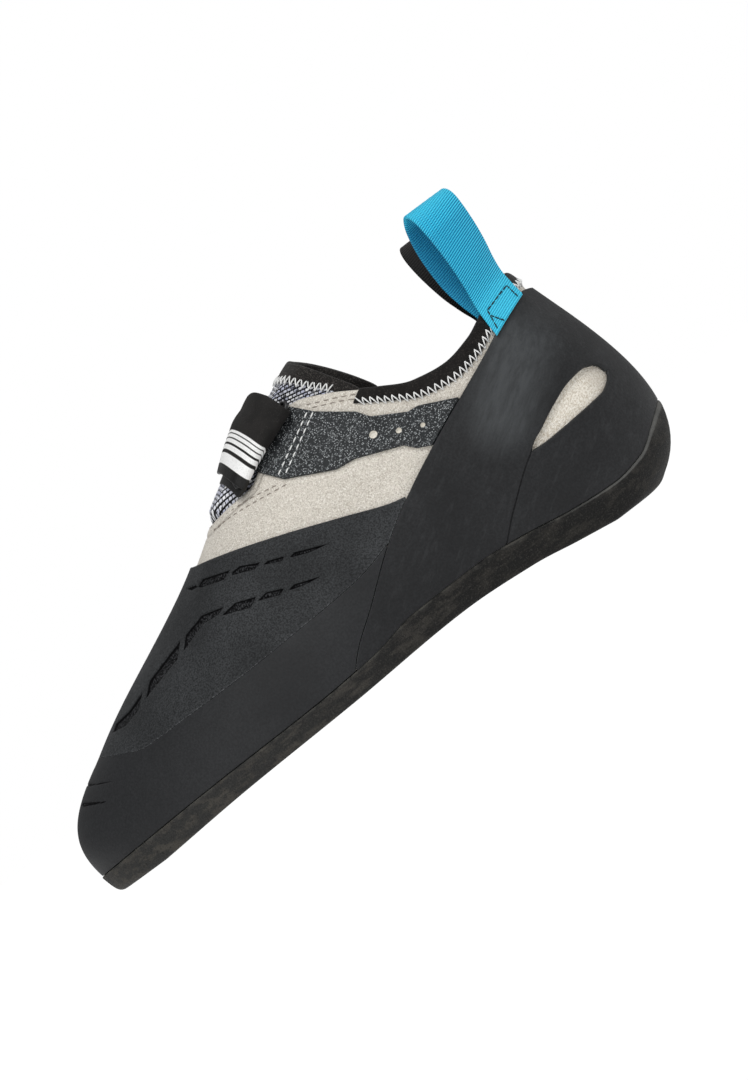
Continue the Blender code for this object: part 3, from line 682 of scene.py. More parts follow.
def rubber(name, colour, light, grain, depth, rough, cut=None, painted_highlight=False, dots=0.0):
    """Matte moulded rubber: finely grained, softly clouded, a little paler where worn near its edges; it can
    carry painted highlight dots along its edges and a painted highlight along the heel band.
    """
    g = Graph(name, specular=0.3)
    place = g.mm()
    cloud = g.noise(place, 26.0, 3.0)
    fine = g.noise(place, grain, 3.0, 0.6)
    g.tone = g.blend(g.step(fine, 0.30, 0.70), colour, light)
    g.tint(cloud, 0.35, 0.70, 0.45, tuple(0.75 * c for c in colour))
    edge = g.layer("edge")
    g.tint(edge, 0.45, 0.05, 0.14, (84, 86, 87))
    if dots:
        # Painted highlight: pale dots along the cover's edges, laid at the share that dots sets.
        painted_glints = g.times(g.step(g.noise(place, 0.7, 2.0), 0.50, 0.60), g.step(edge, 0.55, 0.10))
        g.over(g.times(painted_glints, dots), (104, 106, 108))
    if painted_highlight:
        streak = g.noise(g.mm((0.2, 1.0, 1.0), turn=33.0), 2.2, 5.0, 0.65)
        g.tint(streak, 0.50, 0.74, 0.11, (84, 86, 88))
        # Painted highlight: a paler sheen along the heel band, broken up by the streaks.
        painted_highlight_share = g.times(g.layer("painted_highlight"), g.step(streak, 0.25, 0.65, 0.5, 1.0))
        g.over(g.times(painted_highlight_share, 0.57), (78, 81, 83))
    height = fine
    if cut is not None:
        inside = g.step(g.layer("cut"), *cut)
        pit = g.noise(g.mm((1.0, 1.0, 0.5), turn=-25.0), 0.45, 3.0, 0.7)
        floor = g.times(g.step(pit, 0.46, 0.62), g.step(g.layer("cut"), -0.15, -0.55))
        g.tone = g.mix(inside, g.tone, g.blend(floor, (5, 5, 6), (66, 67, 69)))
        height = g.math("ADD", fine, g.times(pit, inside, 1.5))
        g.feed(g.shader.inputs["Specular IOR Level"], g.step(inside, 0.0, 1.0, 0.3, 0.06))
    return g.finish(g.step(cloud, 0.3, 0.75, rough - 0.05, rough + 0.07), height, depth)


def sole_rubber():
    """Sanded outsole rubber: brownish black, fuzzy, smeared along the shoe, darker towards the heel, with a
    painted highlight along its lip at the heel.
    """
    g = Graph("outsole_rubber", specular=0.25)
    place = g.mm()
    smear = g.noise(g.mm((0.14, 0.4, 0.55)), 1.6, 5.0, 0.65)
    grit = g.noise(place, 0.55, 3.0, 0.7)
    x = g.add("SeparateXYZ", {0: place}).outputs[0]
    g.tone = g.blend(g.step(x, -90.0, 50.0), (41, 41, 40), (11, 11, 10))
    front = g.step(x, 60.0, -80.0, 0.35, 1.0)
    g.over(g.times(front, g.step(smear, 0.44, 0.64, 0.0, 0.85)), (68, 65, 60))
    g.tint(grit, 0.50, 0.72, 0.45, (72, 70, 66))
    g.tint(grit, 0.48, 0.30, 0.65, (16, 15, 14))
    haze = g.step(g.noise(place, 5.0, 3.0), 0.42, 0.66)
    lip = g.step(g.layer("edge"), 1.5, 0.2)
    g.over(g.times(haze, lip, 0.45), (92, 90, 85))
    # Painted highlight along the rolled lip towards the heel.
    heel = g.times(g.step(x, 60.0, 100.0), g.step(g.layer("edge"), 0.9, 0.2))
    g.over(g.times(heel, 0.55), (104, 104, 102))
    height = g.math("ADD", g.times(smear, 0.6), grit)
    return g.finish(g.step(smear, 0.3, 0.75, 0.70, 0.86), height, 0.25)


def suede():
    """Pale suede with a pebbled nap, smoother where it is stretched; the inside is a plain woven lining."""
    g = Graph("suede", specular=0.2, sheen=0.2)
    place = g.mm()
    nap = g.noise(place, 0.48, 2.0, 0.6)
    pore = g.noise(place, 0.42, 2.0, 0.6)
    stretch = g.layer("stretch")
    g.tone = g.blend(g.step(g.noise(place, 16.0, 4.0), 0.3, 0.72), (210, 204, 193), (222, 216, 205))
    g.tint(nap, 0.50, 0.68, 0.72, (166, 156, 144))
    g.tint(nap, 0.47, 0.32, 0.85, (246, 242, 234))
    g.tint(pore, 0.56, 0.72, 0.50, (164, 154, 142))
    grain = g.noise(g.mm((0.55, 1.0, 1.0), turn=30.0), 0.48, 4.0, 0.7)
    g.over(g.times(stretch, 0.85), (248, 243, 232))
    g.over(g.times(stretch, g.step(grain, 0.40, 0.64, 0.0, 0.80)), (190, 177, 156))
    g.tint(g.layer("shade"), 0.0, 1.0, 0.55, (118, 108, 98))
    thread = g.noise(g.mm((1.0, 1.0, 1.6)), 0.5, 2.0)
    lining = g.blend(g.step(thread, 0.4, 0.65), (88, 87, 85), (128, 127, 124))
    g.tone = g.mix(g.step(g.layer("inside"), 0.4, 0.6), g.tone, lining)
    height = g.math("ADD", nap, g.times(pore, 0.4))
    roughness = g.math("SUBTRACT", g.step(nap, 0.3, 0.7, 0.84, 0.97), g.times(stretch, 0.3))
    return g.finish(roughness, height, 0.42)


def panel_cloth():
    """Charcoal coated cloth set with pale glinting grains."""
    g = Graph("panel_cloth", specular=0.4)
    place = g.mm()
    g.tone = g.blend(g.step(g.noise(place, 4.0, 3.0), 0.35, 0.7), (15, 19, 22), (25, 29, 32))
    cells = g.add("TexVoronoi", {"Vector": place, "Scale": 2.2, "Randomness": 1.0}, feature="F1")
    pick = g.add("SeparateColor", {0: cells.outputs["Color"]}).outputs[0]
    grains = g.times(g.step(cells.outputs["Distance"], 0.62, 0.20), g.step(pick, 0.35, 1.05))
    g.over(grains, (200, 205, 207))
    g.tint(g.layer("cut"), 0.08, -0.08, 1.0, (226, 221, 210))
    g.tint(g.layer("edge"), 0.5, 0.05, 0.5, (26, 29, 32))
    return g.finish(g.step(grains, 0.0, 1.0, 0.66, 0.45), grains, 0.25)


def soft_black(name):
    """Brushed black knit tape with a faint pile."""
    g = Graph(name, specular=0.15, sheen=0.1)
    place = g.mm()
    pile = g.noise(place, 0.55, 4.0, 0.7)
    g.tone = g.blend(g.step(g.noise(place, 6.0, 3.0), 0.35, 0.7), (20, 18, 17), (28, 26, 25))
    g.tint(pile, 0.52, 0.74, 0.6, (78, 73, 69))
    return g.finish(g.step(pile, 0.3, 0.7, 0.84, 0.96), pile, 0.3)


def strap_cloth():
    """Black brushed webbing with white stripes along its front, and a smooth front edge."""
    g = Graph("strap_webbing", specular=0.3)
    place = g.mm()
    across = g.layer("across")
    pile = g.noise(place, 0.5, 4.0, 0.7)
    g.tone = g.blend(g.step(g.noise(place, 5.0, 3.0), 0.35, 0.7), (22, 21, 20), (32, 30, 29))
    g.tint(pile, 0.54, 0.74, 0.5, (68, 65, 63))
    blur = 0.004
    stripe = 0.0
    for low, high in STRAP_STRIPES:
        band = g.times(g.step(across, low - blur, low + blur), g.step(across, high + blur, high - blur))
        stripe = g.math("MAXIMUM", stripe, band)
    g.tone = g.mix(stripe, g.tone, g.blend(g.step(pile, 0.45, 0.7), (246, 246, 245), (222, 222, 221)))
    shiny = g.step(across, 0.115, 0.10)
    g.over(g.times(shiny, 0.85), (15, 15, 15))
    height = g.math("ADD", g.times(pile, 0.8), g.times(stripe, 0.5))
    return g.finish(g.math("SUBTRACT", 0.88, g.times(shiny, 0.48)), height, 0.2)


def knit():
    """Chunky white and lavender knit on black, with a brushed black tape at its top and a black inside."""
    g = Graph("knit", specular=0.2, sheen=0.1)
    inputs = {"Vector": g.layer("knit", "Vector"), "Scale": 1.0, "Brick Width": KNIT_LONG,
              "Row Height": KNIT_TALL, "Mortar Size": 0.24, "Mortar Smooth": 0.25, "Bias": -0.1,
              "Color1": srgb(246, 247, 250), "Color2": srgb(184, 188, 211), "Mortar": srgb(13, 13, 16)}
    g.tone = g.add("TexBrick", inputs, offset=0.5).outputs["Color"]
    fuzz = g.noise(g.mm(), 0.4, 4.0, 0.7)
    gap = g.noise(g.mm(), 1.3, 1.0)
    g.tint(gap, 0.58, 0.66, 0.9, (18, 18, 22))
    g.tint(fuzz, 0.52, 0.72, 0.35, (86, 88, 100))
    tape = g.blend(g.step(fuzz, 0.48, 0.72), (24, 22, 21), (92, 88, 84))
    g.tone = g.mix(g.step(g.layer("tape"), 0.4, 0.6), g.tone, tape)
    return g.finish(g.step(fuzz, 0.3, 0.7, 0.8, 0.95), fuzz, 0.25)


def webbing(name, colour, light, dark):
    """Ribbed grosgrain tape: ribs across its run with painted highlights on them and painted shade in the
    valleys, and painted light and shade along its run.
    """
    g = Graph(name, specular=0.2)
    rib = g.layer("rib")
    fibre = g.noise(g.mm(), 0.3, 3.0, 0.7)
    # Painted highlight on the ribs and painted shade in the valleys between them.
    g.tone = g.blend(g.step(rib, 0.30, 0.95), colour, light)
    g.tint(rib, 0.60, 0.10, 0.95, dark)
    g.tint(fibre, 0.5, 0.75, 0.2, light)
    # Painted shade and painted highlight along the run, from the loop's pale layer.
    pale = g.layer("pale")
    g.tint(pale, 0.5, 0.0, 0.65, dark)
    g.tint(pale, 0.5, 1.0, 0.45, light)
    return g.finish(g.step(fibre, 0.3, 0.7, 0.5, 0.72), fibre, 0.12)


def thread_cloth(name, colour, dark):
    """Twisted sewing thread."""
    g = Graph(name)
    twist = g.noise(g.mm(), 0.25, 2.0, 0.6)
    g.tone = g.blend(g.step(twist, 0.4, 0.7, 0.0, 0.6), colour, dark)
    return g.finish(g.step(twist, 0.3, 0.7, 0.5, 0.75), twist, 0.1)


def board_cloth():
    """Grey woven cover of the insole."""
    g = Graph("insole_cloth", specular=0.15)
    weave = g.noise(g.mm((1.0, 0.35, 1.0)), 0.6, 3.0)
    weft = g.noise(g.mm((0.35, 1.0, 1.0)), 0.6, 3.0)
    height = g.math("ADD", weave, weft)
    g.tone = g.blend(g.step(height, 0.8, 1.25), (96, 95, 92), (142, 140, 136))
    g.tint(g.noise(g.mm(), 18.0), 0.4, 0.7, 0.3, (84, 82, 79))
    return g.finish(g.step(height, 0.7, 1.3, 0.95, 0.82), height, 0.3)


def ring_metal():
    """Dark wire with a faint haze."""
    g = Graph("ring", specular=0.5)
    haze = g.noise(g.mm(), 0.8, 4.0)
    g.tone = g.blend(g.step(haze, 0.4, 0.7), (20, 20, 21), (46, 46, 48))
    return g.finish(g.step(haze, 0.3, 0.7, 0.28, 0.48), haze, 0.05)


def floor_paint():
    """Floor that glows white like its surroundings."""
    g = Graph("floor", specular=0.1)
    speck = g.noise(g.mm(), 60.0, 3.0)
    g.shader.inputs["Emission Color"].default_value = (1.0, 1.0, 1.0, 1.0)
    g.shader.inputs["Emission Strength"].default_value = 1.0
    g.tone = g.blend(g.step(speck, 0.3, 0.7), (58, 58, 58), (64, 64, 64))
    return g.finish(g.step(speck, 0.3, 0.7, 0.8, 0.9), speck, 0.01)


def make_outsole():
    """Tray with a flat toe and heel, an arch between, a sanded band round the side and a rolled lip."""
    half = 210
    t = np.linspace(0, LAP, 2 * half, endpoint=False)
    foot, side = foot_sideways(t)
    tread = foot + side * control_points(t)[:, 4, :1]
    tread[:, 2] = side_curve(SOLE_UNDER)(tread[:, 0])
    top = height_at(t, rim_top)
    outer = GAP + RIM
    low = off_last(t, 0 * t, outer)
    turn = tread + TREAD_OUT * (low - tread)
    turn[:, 2] = tread[:, 2] + TREAD_UP * (low[:, 2] - tread[:, 2])
    wave = 0.12 * np.sin(t * 9.1) + 0.09 * np.sin(t * 23.7 + 1.0)
    corner = [tread - side * 1.3, tread, turn, low, off_last(t, 0.1 * top, outer)]
    rows = np.array(list(between(corner, 5)))
    for _ in range(10):
        rows[1:-1] = (rows[:-2] + 2 * rows[1:-1] + rows[2:]) / 4
    rows = list(rows)
    edge = [3.0] * len(rows)
    for level in np.linspace(0.2, 0.9, 8):
        rows.append(off_last(t, level * top, outer + wave * level * (1 - level)))
        edge.append(3.0 * (1 - level) + 0.6 * level)
    lip = ((0.955, outer - 0.06), (0.985, outer - 0.3), (1.0, outer - 0.8), (1.0, 1.0), (0.97, 0.4))
    for level, lift in lip:
        rows.append(off_last(t, level * top, lift))
        edge.append(0.2)
    rings = np.array(rows)
    count = len(t)
    cuts = np.linspace(0, 1, 15)[1:-1]
    k = np.arange(1, half)
    near, far = rings[0, k], rings[0, count - k]
    bottom = near[:, None] + (far - near)[:, None] * cuts[None, :, None]
    bottom[..., 2] = side_curve(SOLE_UNDER)(bottom[..., 0])
    inner = len(rows) * count + np.arange(bottom.shape[0] * len(cuts)).reshape(-1, len(cuts))
    strip = np.concatenate([k[:, None], inner, count - k[:, None]], 1)
    corners = [strip[:-1, :-1], strip[:-1, 1:], strip[1:, 1:], strip[1:, :-1]]
    tread_faces = np.stack(corners, -1).reshape(-1, 4)
    faces = np.concatenate([ring_faces(len(rows), count), tread_faces]).tolist()
    for tip, row in ((0, strip[0]), (half, strip[-1])):
        faces += [(tip, int(a), int(b)) for a, b in zip(row[:-1], row[1:])]
    points = np.concatenate([rings.reshape(-1, 3), bottom.reshape(-1, 3)])
    edge = np.concatenate([np.repeat(edge, count), np.full(inner.size, 4.0)])
    return piece("outsole_rubber", points, faces, sole_rubber(), "outsole_rubber", ("outsole",), closed=True,
                 edge=edge)


def make_upper():
    """Suede from the sole up to the throat and collar, over the cut edge and down the lined inside."""
    t = np.linspace(0, LAP, 620, endpoint=False)
    top, span = collar_edge(t)
    levels = np.concatenate([np.linspace(0, 0.9, 54), np.linspace(0.9, 1.0, 22)[1:]])
    h = top[:, None] * levels
    tt = np.repeat(t[:, None], h.shape[1], 1)
    p = last_surface(tt, h)
    x, z = p[..., 0], p[..., 2]
    below = topline(x) - z
    strip = smooth(x, 158, 148) * smooth(x, 84, 92)
    groove = bell(below, 2.1, 0.32) * strip
    fold = bell(below, 0.9, 1.0) * strip
    collar = smooth(x, 162, 170) * bell(below, BINDING + 0.8, 1.1)
    lift = 0.25 * fold - 0.24 * groove + 0.25 * collar - 0.15 * smooth(below, 0.5, 0.0)
    outer = p + lift[..., None] * last_normal(tt, h)
    edge = []
    for turn in np.linspace(0, np.pi, 9)[1:-1]:
        lip = np.minimum(top + 0.6 * np.sin(turn) / span, 1.0)
        edge.append(off_last(t, lip, -0.15 - (WALL - 0.15) / 2 * (1 - np.cos(turn))))
    inner = off_last(tt[:, ::4], h[:, ::-4], -WALL)
    grid = np.concatenate([outer, np.array(edge).transpose(1, 0, 2), inner], 1)
    face, lip_end = h.shape[1], h.shape[1] + len(edge)
    inside, shade, stretch = np.zeros((3, *grid.shape[:2]))
    inside[:, lip_end:] = 1.0
    shade[:, :face] = np.clip(0.8 * groove + 0.25 * smooth(below, 0.6, 0.0), 0, 1)
    shade[:, face:lip_end] = 0.35
    stretch[:, :face] = smooth(x, 200, 204) * smooth(z, cup_top(x) - 3, cup_top(x) - 1) * smooth(z, 53, 49)
    shade[:, :face] += 0.55 * stretch[:, :face] * smooth(x, 228, 238)
    faces = grid_faces(len(t) + 1, grid.shape[1]) % (len(t) * grid.shape[1])
    column, row = np.divmod(faces, grid.shape[1])
    between_skins = (row.min(1) >= face - 1) & (row.max(1) <= lip_end)
    faces = faces[~((top[column] > 0.9999).all(1) & between_skins)]
    return piece("upper_suede", grid, faces, suede(), "suede", ("upper",),
                 inside=inside, shade=shade, stretch=stretch)


def make_rand():
    """Smooth rubber round the toes with two slits on the toe."""
    toe = np.linspace(-8, 8, 180)[1:-1]
    t = np.concatenate([np.linspace(-31, -8, 150), toe, np.linspace(8, 31, 150)]) * COLUMN
    part = skin(t, lambda x: np.maximum(rim_top(x), sling_top(x)) + SEAM, lambda x: rand_top(x) - SEAM,
                RUBBER, RUBBER_FOOT, RAND_EDGE, 60, lambda x, z: stroke_distance(x, z, SLITS), *SLIT_CUT)
    material = rubber("rand_rubber_front", (27, 28, 30), (37, 38, 40), 0.8, 0.10, 0.60, cut=(0.07, -0.07))
    return piece("toe_rand_rubber", material=material, slot="rand_rubber", nodes=("toe_rand",), **part)


def groove_distance(x, z):
    """Distance in side view from the grooves: below zero inside them."""
    return np.minimum.reduce([outline_distance(x, z, corners) for corners in GROOVES])


def make_patch():
    """Thin textured rubber over the toes with two chains of grooves down each side."""
    t = np.linspace(2.6, 34, 390) * COLUMN
    parts = []
    for columns in (t, -t[::-1]):
        parts.append(skin(columns, lambda x: np.maximum(rand_top(x), sling_top(x)) + SEAM, patch_top,
                          RUBBER, PATCH_FOOT, PATCH_EDGE, 108, groove_distance, *GROOVE_CUT))
    # The patch carries painted highlight dots along its edges.
    material = rubber("patch_rubber", (15, 17, 19), (60, 62, 64), 0.55, 0.25, 0.68,
                      cut=(0.10, -0.10), dots=0.6)
    return piece("toe_patch_rubber", material=material, slot="patch_rubber", nodes=("toe_patch",),
                 **joined(parts))


def heel_relief(x, z):
    """Crease from the opening's tip down to the sole, and the soft swells of the stretched band."""
    seam = cup_top(x) - z
    crease = -0.40 * bell(seam, 0.0, 0.28) * smooth(x, 207, 203) * smooth(x, 175, 178)
    lip = 0.22 * bell(seam, -1.3, 1.1) * smooth(x, 210, 200) * smooth(x, 176, 184)
    down = sling_top(x) - z
    swell = 0.35 * bell(x, 196, 9) * bell(down, 16, 12)
    hollow = -0.45 * bell(x, 179, 8) * bell(down, 18, 14)
    return crease + lip + swell + hollow + 0.28 * bell(stroke_distance(x, z, FOLDS), 0.0, 3.2)


def make_heel_rubber():
    """Heel band and heel cup as one rubber shell with a drop-shaped opening on each side."""
    t = np.linspace(20, 76, 560) * COLUMN
    low = height_at(t, lambda x: rim_top(x) + SEAM)
    split = height_at(t, lambda x: np.maximum(cup_top(x), rim_top(x) + 2 * SEAM))
    tear = height_at(t, lambda x: np.maximum(np.maximum(tear_top(x), cup_top(x)), rim_top(x) + 2 * SEAM))
    high = height_at(t, lambda x: sling_top(x) - SEAM)
    along = np.linspace(TEAR_TOP[1][0], TEAR_TOP[-1][0], 60)
    ring = [np.stack([along, curve(along)], 1) for curve in (tear_top, cup_top)]
    opening = [(*a, 0.0, *b, 0.0) for line in ring for a, b in zip(line[:-1], line[1:])]
    parts = []
    for first, last, middle in ((low, split, 40), (tear, high, 70)):
        use = last - first > 0.0015
        h, from_low, from_up = rows_up(t[use], first[use], last[use], middle)
        tt = np.repeat(t[use, None], h.shape[1], 1)
        p = last_surface(tt, h)
        x, z = p[..., 0], p[..., 2]
        to_tear = stroke_distance(x, z, opening)
        lift = rounded(to_tear, *TEAR_EDGE, RUBBER)
        if first is low:
            edge = np.minimum(to_tear, from_low)
            lift = np.minimum(lift, rounded(from_low, *RUBBER_FOOT, RUBBER))
        else:
            edge = np.minimum(to_tear, from_up)
            free = smooth(x, 157, 164)
            base = 1.3 - (1.3 - BARE) * free
            lift = np.minimum(lift, rounded(from_up, 0.15 + 0.35 * free, base, RUBBER))
        lift = lift + heel_relief(x, z) * smooth(edge, 0.0, 0.5)
        points = p + lift[..., None] * last_normal(tt, h)
        # Share of the painted highlight along the heel band, fading out within 15 mm of its strokes.
        painted_highlight = smooth(stroke_distance(x, z, PAINTED_HIGHLIGHT_STROKES), 15.0, 0.0)
        parts.append(dict(points=points.reshape(-1, 3), faces=grid_faces(*h.shape), edge=edge.ravel(),
                          painted_highlight=painted_highlight.ravel()))
    material = rubber("rand_rubber", (18, 19, 21), (31, 32, 34), 0.8, 0.12, 0.58, painted_highlight=True)
    return piece("heel_rubber", material=material, slot="rand_rubber", nodes=("heel_sling", "heel_cup"),
                 **joined(parts))


def hole_distance(x, z):
    """Distance in side view from the panel's holes: below zero inside them."""
    return np.minimum.reduce([np.hypot((x - hx) * HOLE_LONG, z - hz) - r for hx, hz, r in HOLES])


def make_panel():
    """Cloth panel on the outer side, from the strap back to the heel band, with three punched holes."""
    t = np.linspace(23.5, 38.5, 330) * COLUMN
    part = skin(t, lambda x: np.maximum(panel_low(x), sling_top(x)) + SEAM, panel_top,
                PANEL, PANEL_EDGE, PANEL_EDGE, 96, hole_distance, *HOLE_CUT)
    return piece("side_panel_cloth", material=panel_cloth(), slot="panel_cloth", nodes=("side_panel",),
                 **part)


def make_binding():
    """Rounded tape over the collar edge; its front ends are cut on the slant."""
    run = np.linspace(0, 1, 420)
    puff = 0.82 + 0.18 * quarter(np.minimum(run, 1 - run) * len(run) / 8)
    t = np.linspace(4.5, 6.5, 400)
    edge = last_surface(t, height_at(t, topline))
    middle = -WALL / 2
    grid = []
    for lift, along in resample(BINDING_PROFILE, 54):
        front = np.interp(along, (-5.9, 1.2), (165.6, 171.2))
        first = np.interp(front, edge[:, 0], t)
        column = first + (LAP - 2 * first) * run
        top, span = collar_edge(column)
        grid.append(off_last(column, top + along / span, middle + (lift - middle) * puff))
    grid = np.array(grid)
    rows, count = grid.shape[:2]
    caps = [list(range(0, rows * count, count)), list(range(count - 1, rows * count, count))[::-1]]
    faces = grid_faces(rows, count)[:, ::-1].tolist() + caps
    return piece("collar_binding_tape", grid, faces, soft_black("binding"), "binding", ("collar_binding",),
                 closed=True)


def zigzag(place, start, stop, pitch, steep, rise):
    """Paths of a zigzag seam: place gives points at a way in mm, a height from -1 to 1 and a lift."""
    s = np.linspace(0, 1, 7)
    bow = rise * np.sin(s * np.pi) - 0.08
    paths = []
    for at in np.arange(start, stop - pitch, pitch):
        paths.append(place(at + s * steep * pitch, 1 - 2 * s, bow))
        paths.append(place(at + (steep + s * (1 - steep)) * pitch, 2 * s - 1, bow))
    return paths


def collar_zigzag():
    """White zigzag over the lower edge of the collar's binding."""
    t = np.linspace(5.0, LAP - 5.0, 1200)
    top, span = collar_edge(t)
    edge = last_surface(t, top)
    way = way_along(edge)
    first = np.interp(167.5, edge[:600, 0], way[:600])

    def place(at, height, bow):
        along = 0.35 - BINDING + COLLAR_REACH * height
        h = np.interp(at, way, top) + along / np.interp(at, way, span)
        lift = 0.35 + 1.12 * smooth(along, -BINDING - 0.5, -BINDING + 0.35)
        return off_last(np.interp(at, way, t), h, lift + bow)
    return zigzag(place, first, way[-1] - first, **COLLAR_ZIGZAG)


def tongue_sheet():
    """Outer face of the tongue without its knit, across by along: normals and points."""
    start = column_for_crest(TONGUE_FRONT)
    fine = np.linspace(start, HEEL - 2.0, 401)
    opening = 1 - height_at(fine, topline)
    half = np.maximum(TONGUE_TUCK * opening, TONGUE_LEAST)
    puff = np.clip(opening / TONGUE_LEAST, 0, 1)
    across = np.linspace(-1, 1, 181)
    ends = []
    for a in across:
        rim = RIM_MEDIAL if a > 0 else RIM_LATERAL
        p = last_surface((-1.0 if a > 0 else 1.0) * fine, 1 - abs(a) * half)
        back = np.interp(abs(a), (0.60, 1.0), (rim[-1][0], TONGUE_TUCK_BACK))
        past = (p[:, 2] >= side_curve(rim)(p[:, 0])) | (p[:, 0] > back)
        ends.append(fine[np.argmax(past)])
    ends = np.convolve(np.pad(ends, 4, mode="edge"), np.ones(9) / 9, mode="valid")
    t = start + (ends - start)[:, None] * np.linspace(0, 1, 230)
    h = 1 - np.abs(across)[:, None] * np.interp(t, fine, half)
    under = -(WALL + 3 * GAP)
    swell = smooth(np.abs(across), TONGUE_SEEN, 0.30)[:, None] * np.interp(t, fine, puff)
    t = t * np.where(across > 0, -1.0, 1.0)[:, None]
    n = last_normal(t, h)
    lift = under + (TONGUE_PROUD - under) * swell
    return n, last_surface(t, h) + lift[..., None] * n


def make_tongue():
    """Padded knit tongue with a rolled black tape round its top and a black inside."""
    n, bare = tongue_sheet()
    run = way_along(bare, axis=1)
    to_rim = run[:, -1:] - run
    drop = way_along(bare, axis=0)
    drop = drop - drop[len(bare) // 2]
    a = 0.80 * bare[..., 0] - 0.60 * drop
    b = 0.60 * bare[..., 0] + 0.80 * drop
    shift = np.where(np.floor(b / KNIT_TALL) % 2 == 0, 0.5, 0.0)
    yarn = np.sqrt(np.abs(np.sin(np.pi * (a / KNIT_LONG + shift)) * np.sin(np.pi * b / KNIT_TALL)))
    tape = smooth(to_rim, TONGUE_TAPE + 0.25, TONGUE_TAPE - 0.25)
    roll = 0.3 + 0.3 * np.sin(np.clip(to_rim / TONGUE_TAPE, 0, 1) * np.pi)
    relief = KNIT_DEEP * yarn * (1 - tape) + tape * roll
    outer = bare + relief[..., None] * n
    along = unit(bare[:, -1] - bare[:, -2])
    radius = (TONGUE + 0.3) / 2
    lip = []
    for turn in np.linspace(0, np.pi, 13)[1:-1]:
        depth = 0.3 - radius * (1 - np.cos(turn))
        lip.append(bare[:, -1] + depth * n[:, -1] + 0.9 * np.sin(turn) * along)
    inner = (bare - TONGUE * n)[:, ::-6]
    grid = np.concatenate([outer, np.array(lip).transpose(1, 0, 2), inner], 1)
    black = np.ones(grid.shape[:2])
    black[:, :tape.shape[1]] = tape
    place = np.zeros(grid.shape)
    place[:, :tape.shape[1], :2] = np.stack([a, b], -1)
    faces = grid_faces(*grid.shape[:2])[:, ::-1]
    obj = piece("tongue_knit", grid, faces, knit(), "knit", ("tongue",), weld=False, tape=black, knit=place)
    return obj


def tongue_zigzag():
    """White zigzag over the lower edge of the tongue's tape, square to it."""
    n, bare = tongue_sheet()
    run = way_along(bare, axis=1)
    keep = np.flatnonzero(np.abs(np.linspace(-1, 1, len(bare))) < TONGUE_SEEN)
    level = run[keep, -1:] - TONGUE_TAPE + 0.9
    line = np.array([read_line(run[k], bare[k], at)[0] for k, at in zip(keep, level)])
    out = np.array([read_line(run[k], n[k], at)[0] for k, at in zip(keep, level)])
    way = way_along(line)
    up = unit(np.cross(out, np.gradient(line, axis=0)))
    up = up * np.sign((up * (bare[keep, -1] - line)).sum(1))[:, None]

    def place(at, height, bow):
        reach = TONGUE_REACH * height[:, None] * read_line(way, up, at)
        return read_line(way, line, at) + reach + (0.75 + bow)[:, None] * read_line(way, out, at)
    return zigzag(place, 0.5, way[-1] - 0.5, **TONGUE_ZIGZAG)


def make_strap():
    """Strap from the medial side over the tongue, round the ring and back over itself."""
    share = edge_samples(60)
    side, height, lift = np.array(STRAP_PATH).T
    upper = smooth(lift, 3.0, 3.8)
    over = np.clip((height - 0.8) / 0.2, 0, 1)
    rows = []
    for s in share:
        crease = sum(tall * bell(s, at, wide) for tall, at, wide in STRAP_CREASES)
        swell = STRAP_RISE * (s - 0.25) + STRAP_BULGE * np.sin(np.pi * s) + crease
        raised = lift + upper * swell - STRAP_SINK * (1 - s) ** 2 * over
        x = STRAP_FRONT + (STRAP_BACK - STRAP_FRONT) * s
        x = x - STRAP_SKEW * s * over - STRAP_UNDER * (1 - s) * (1 - upper)
        rows.append(resample(off_last(column_for_crest(x) * side, height, raised), 170))
    points, faces, length = slab(np.array(rows), STRAP / 2, 0.7)
    across = np.tile(np.repeat(share[:, None], length.shape[1], 1).ravel(), 2)
    return piece("strap_webbing", points, faces, strap_cloth(), "strap_webbing", ("strap",), closed=True,
                 across=across)


def make_ring():
    """Wire ring that the strap turns round, inside its fold."""
    front, back = column_for_crest(STRAP_FRONT + 1), column_for_crest(STRAP_BACK - 1)
    bar = np.linspace(front - RING_REACH, back + RING_REACH, 6)
    ways = (bar, bar[::-1])
    bars = [off_last(way, height + 0 * way, lift) for way, (height, lift) in zip(ways, RING_BARS)]
    path = np.concatenate(bars)
    points, faces = tube(resample(np.concatenate([path, path[:1]]), 200), RING_WIRE / 2, 12)
    return piece("strap_ring_wire", points, faces, ring_metal(), "ring", ("strap_ring",), weld=False)


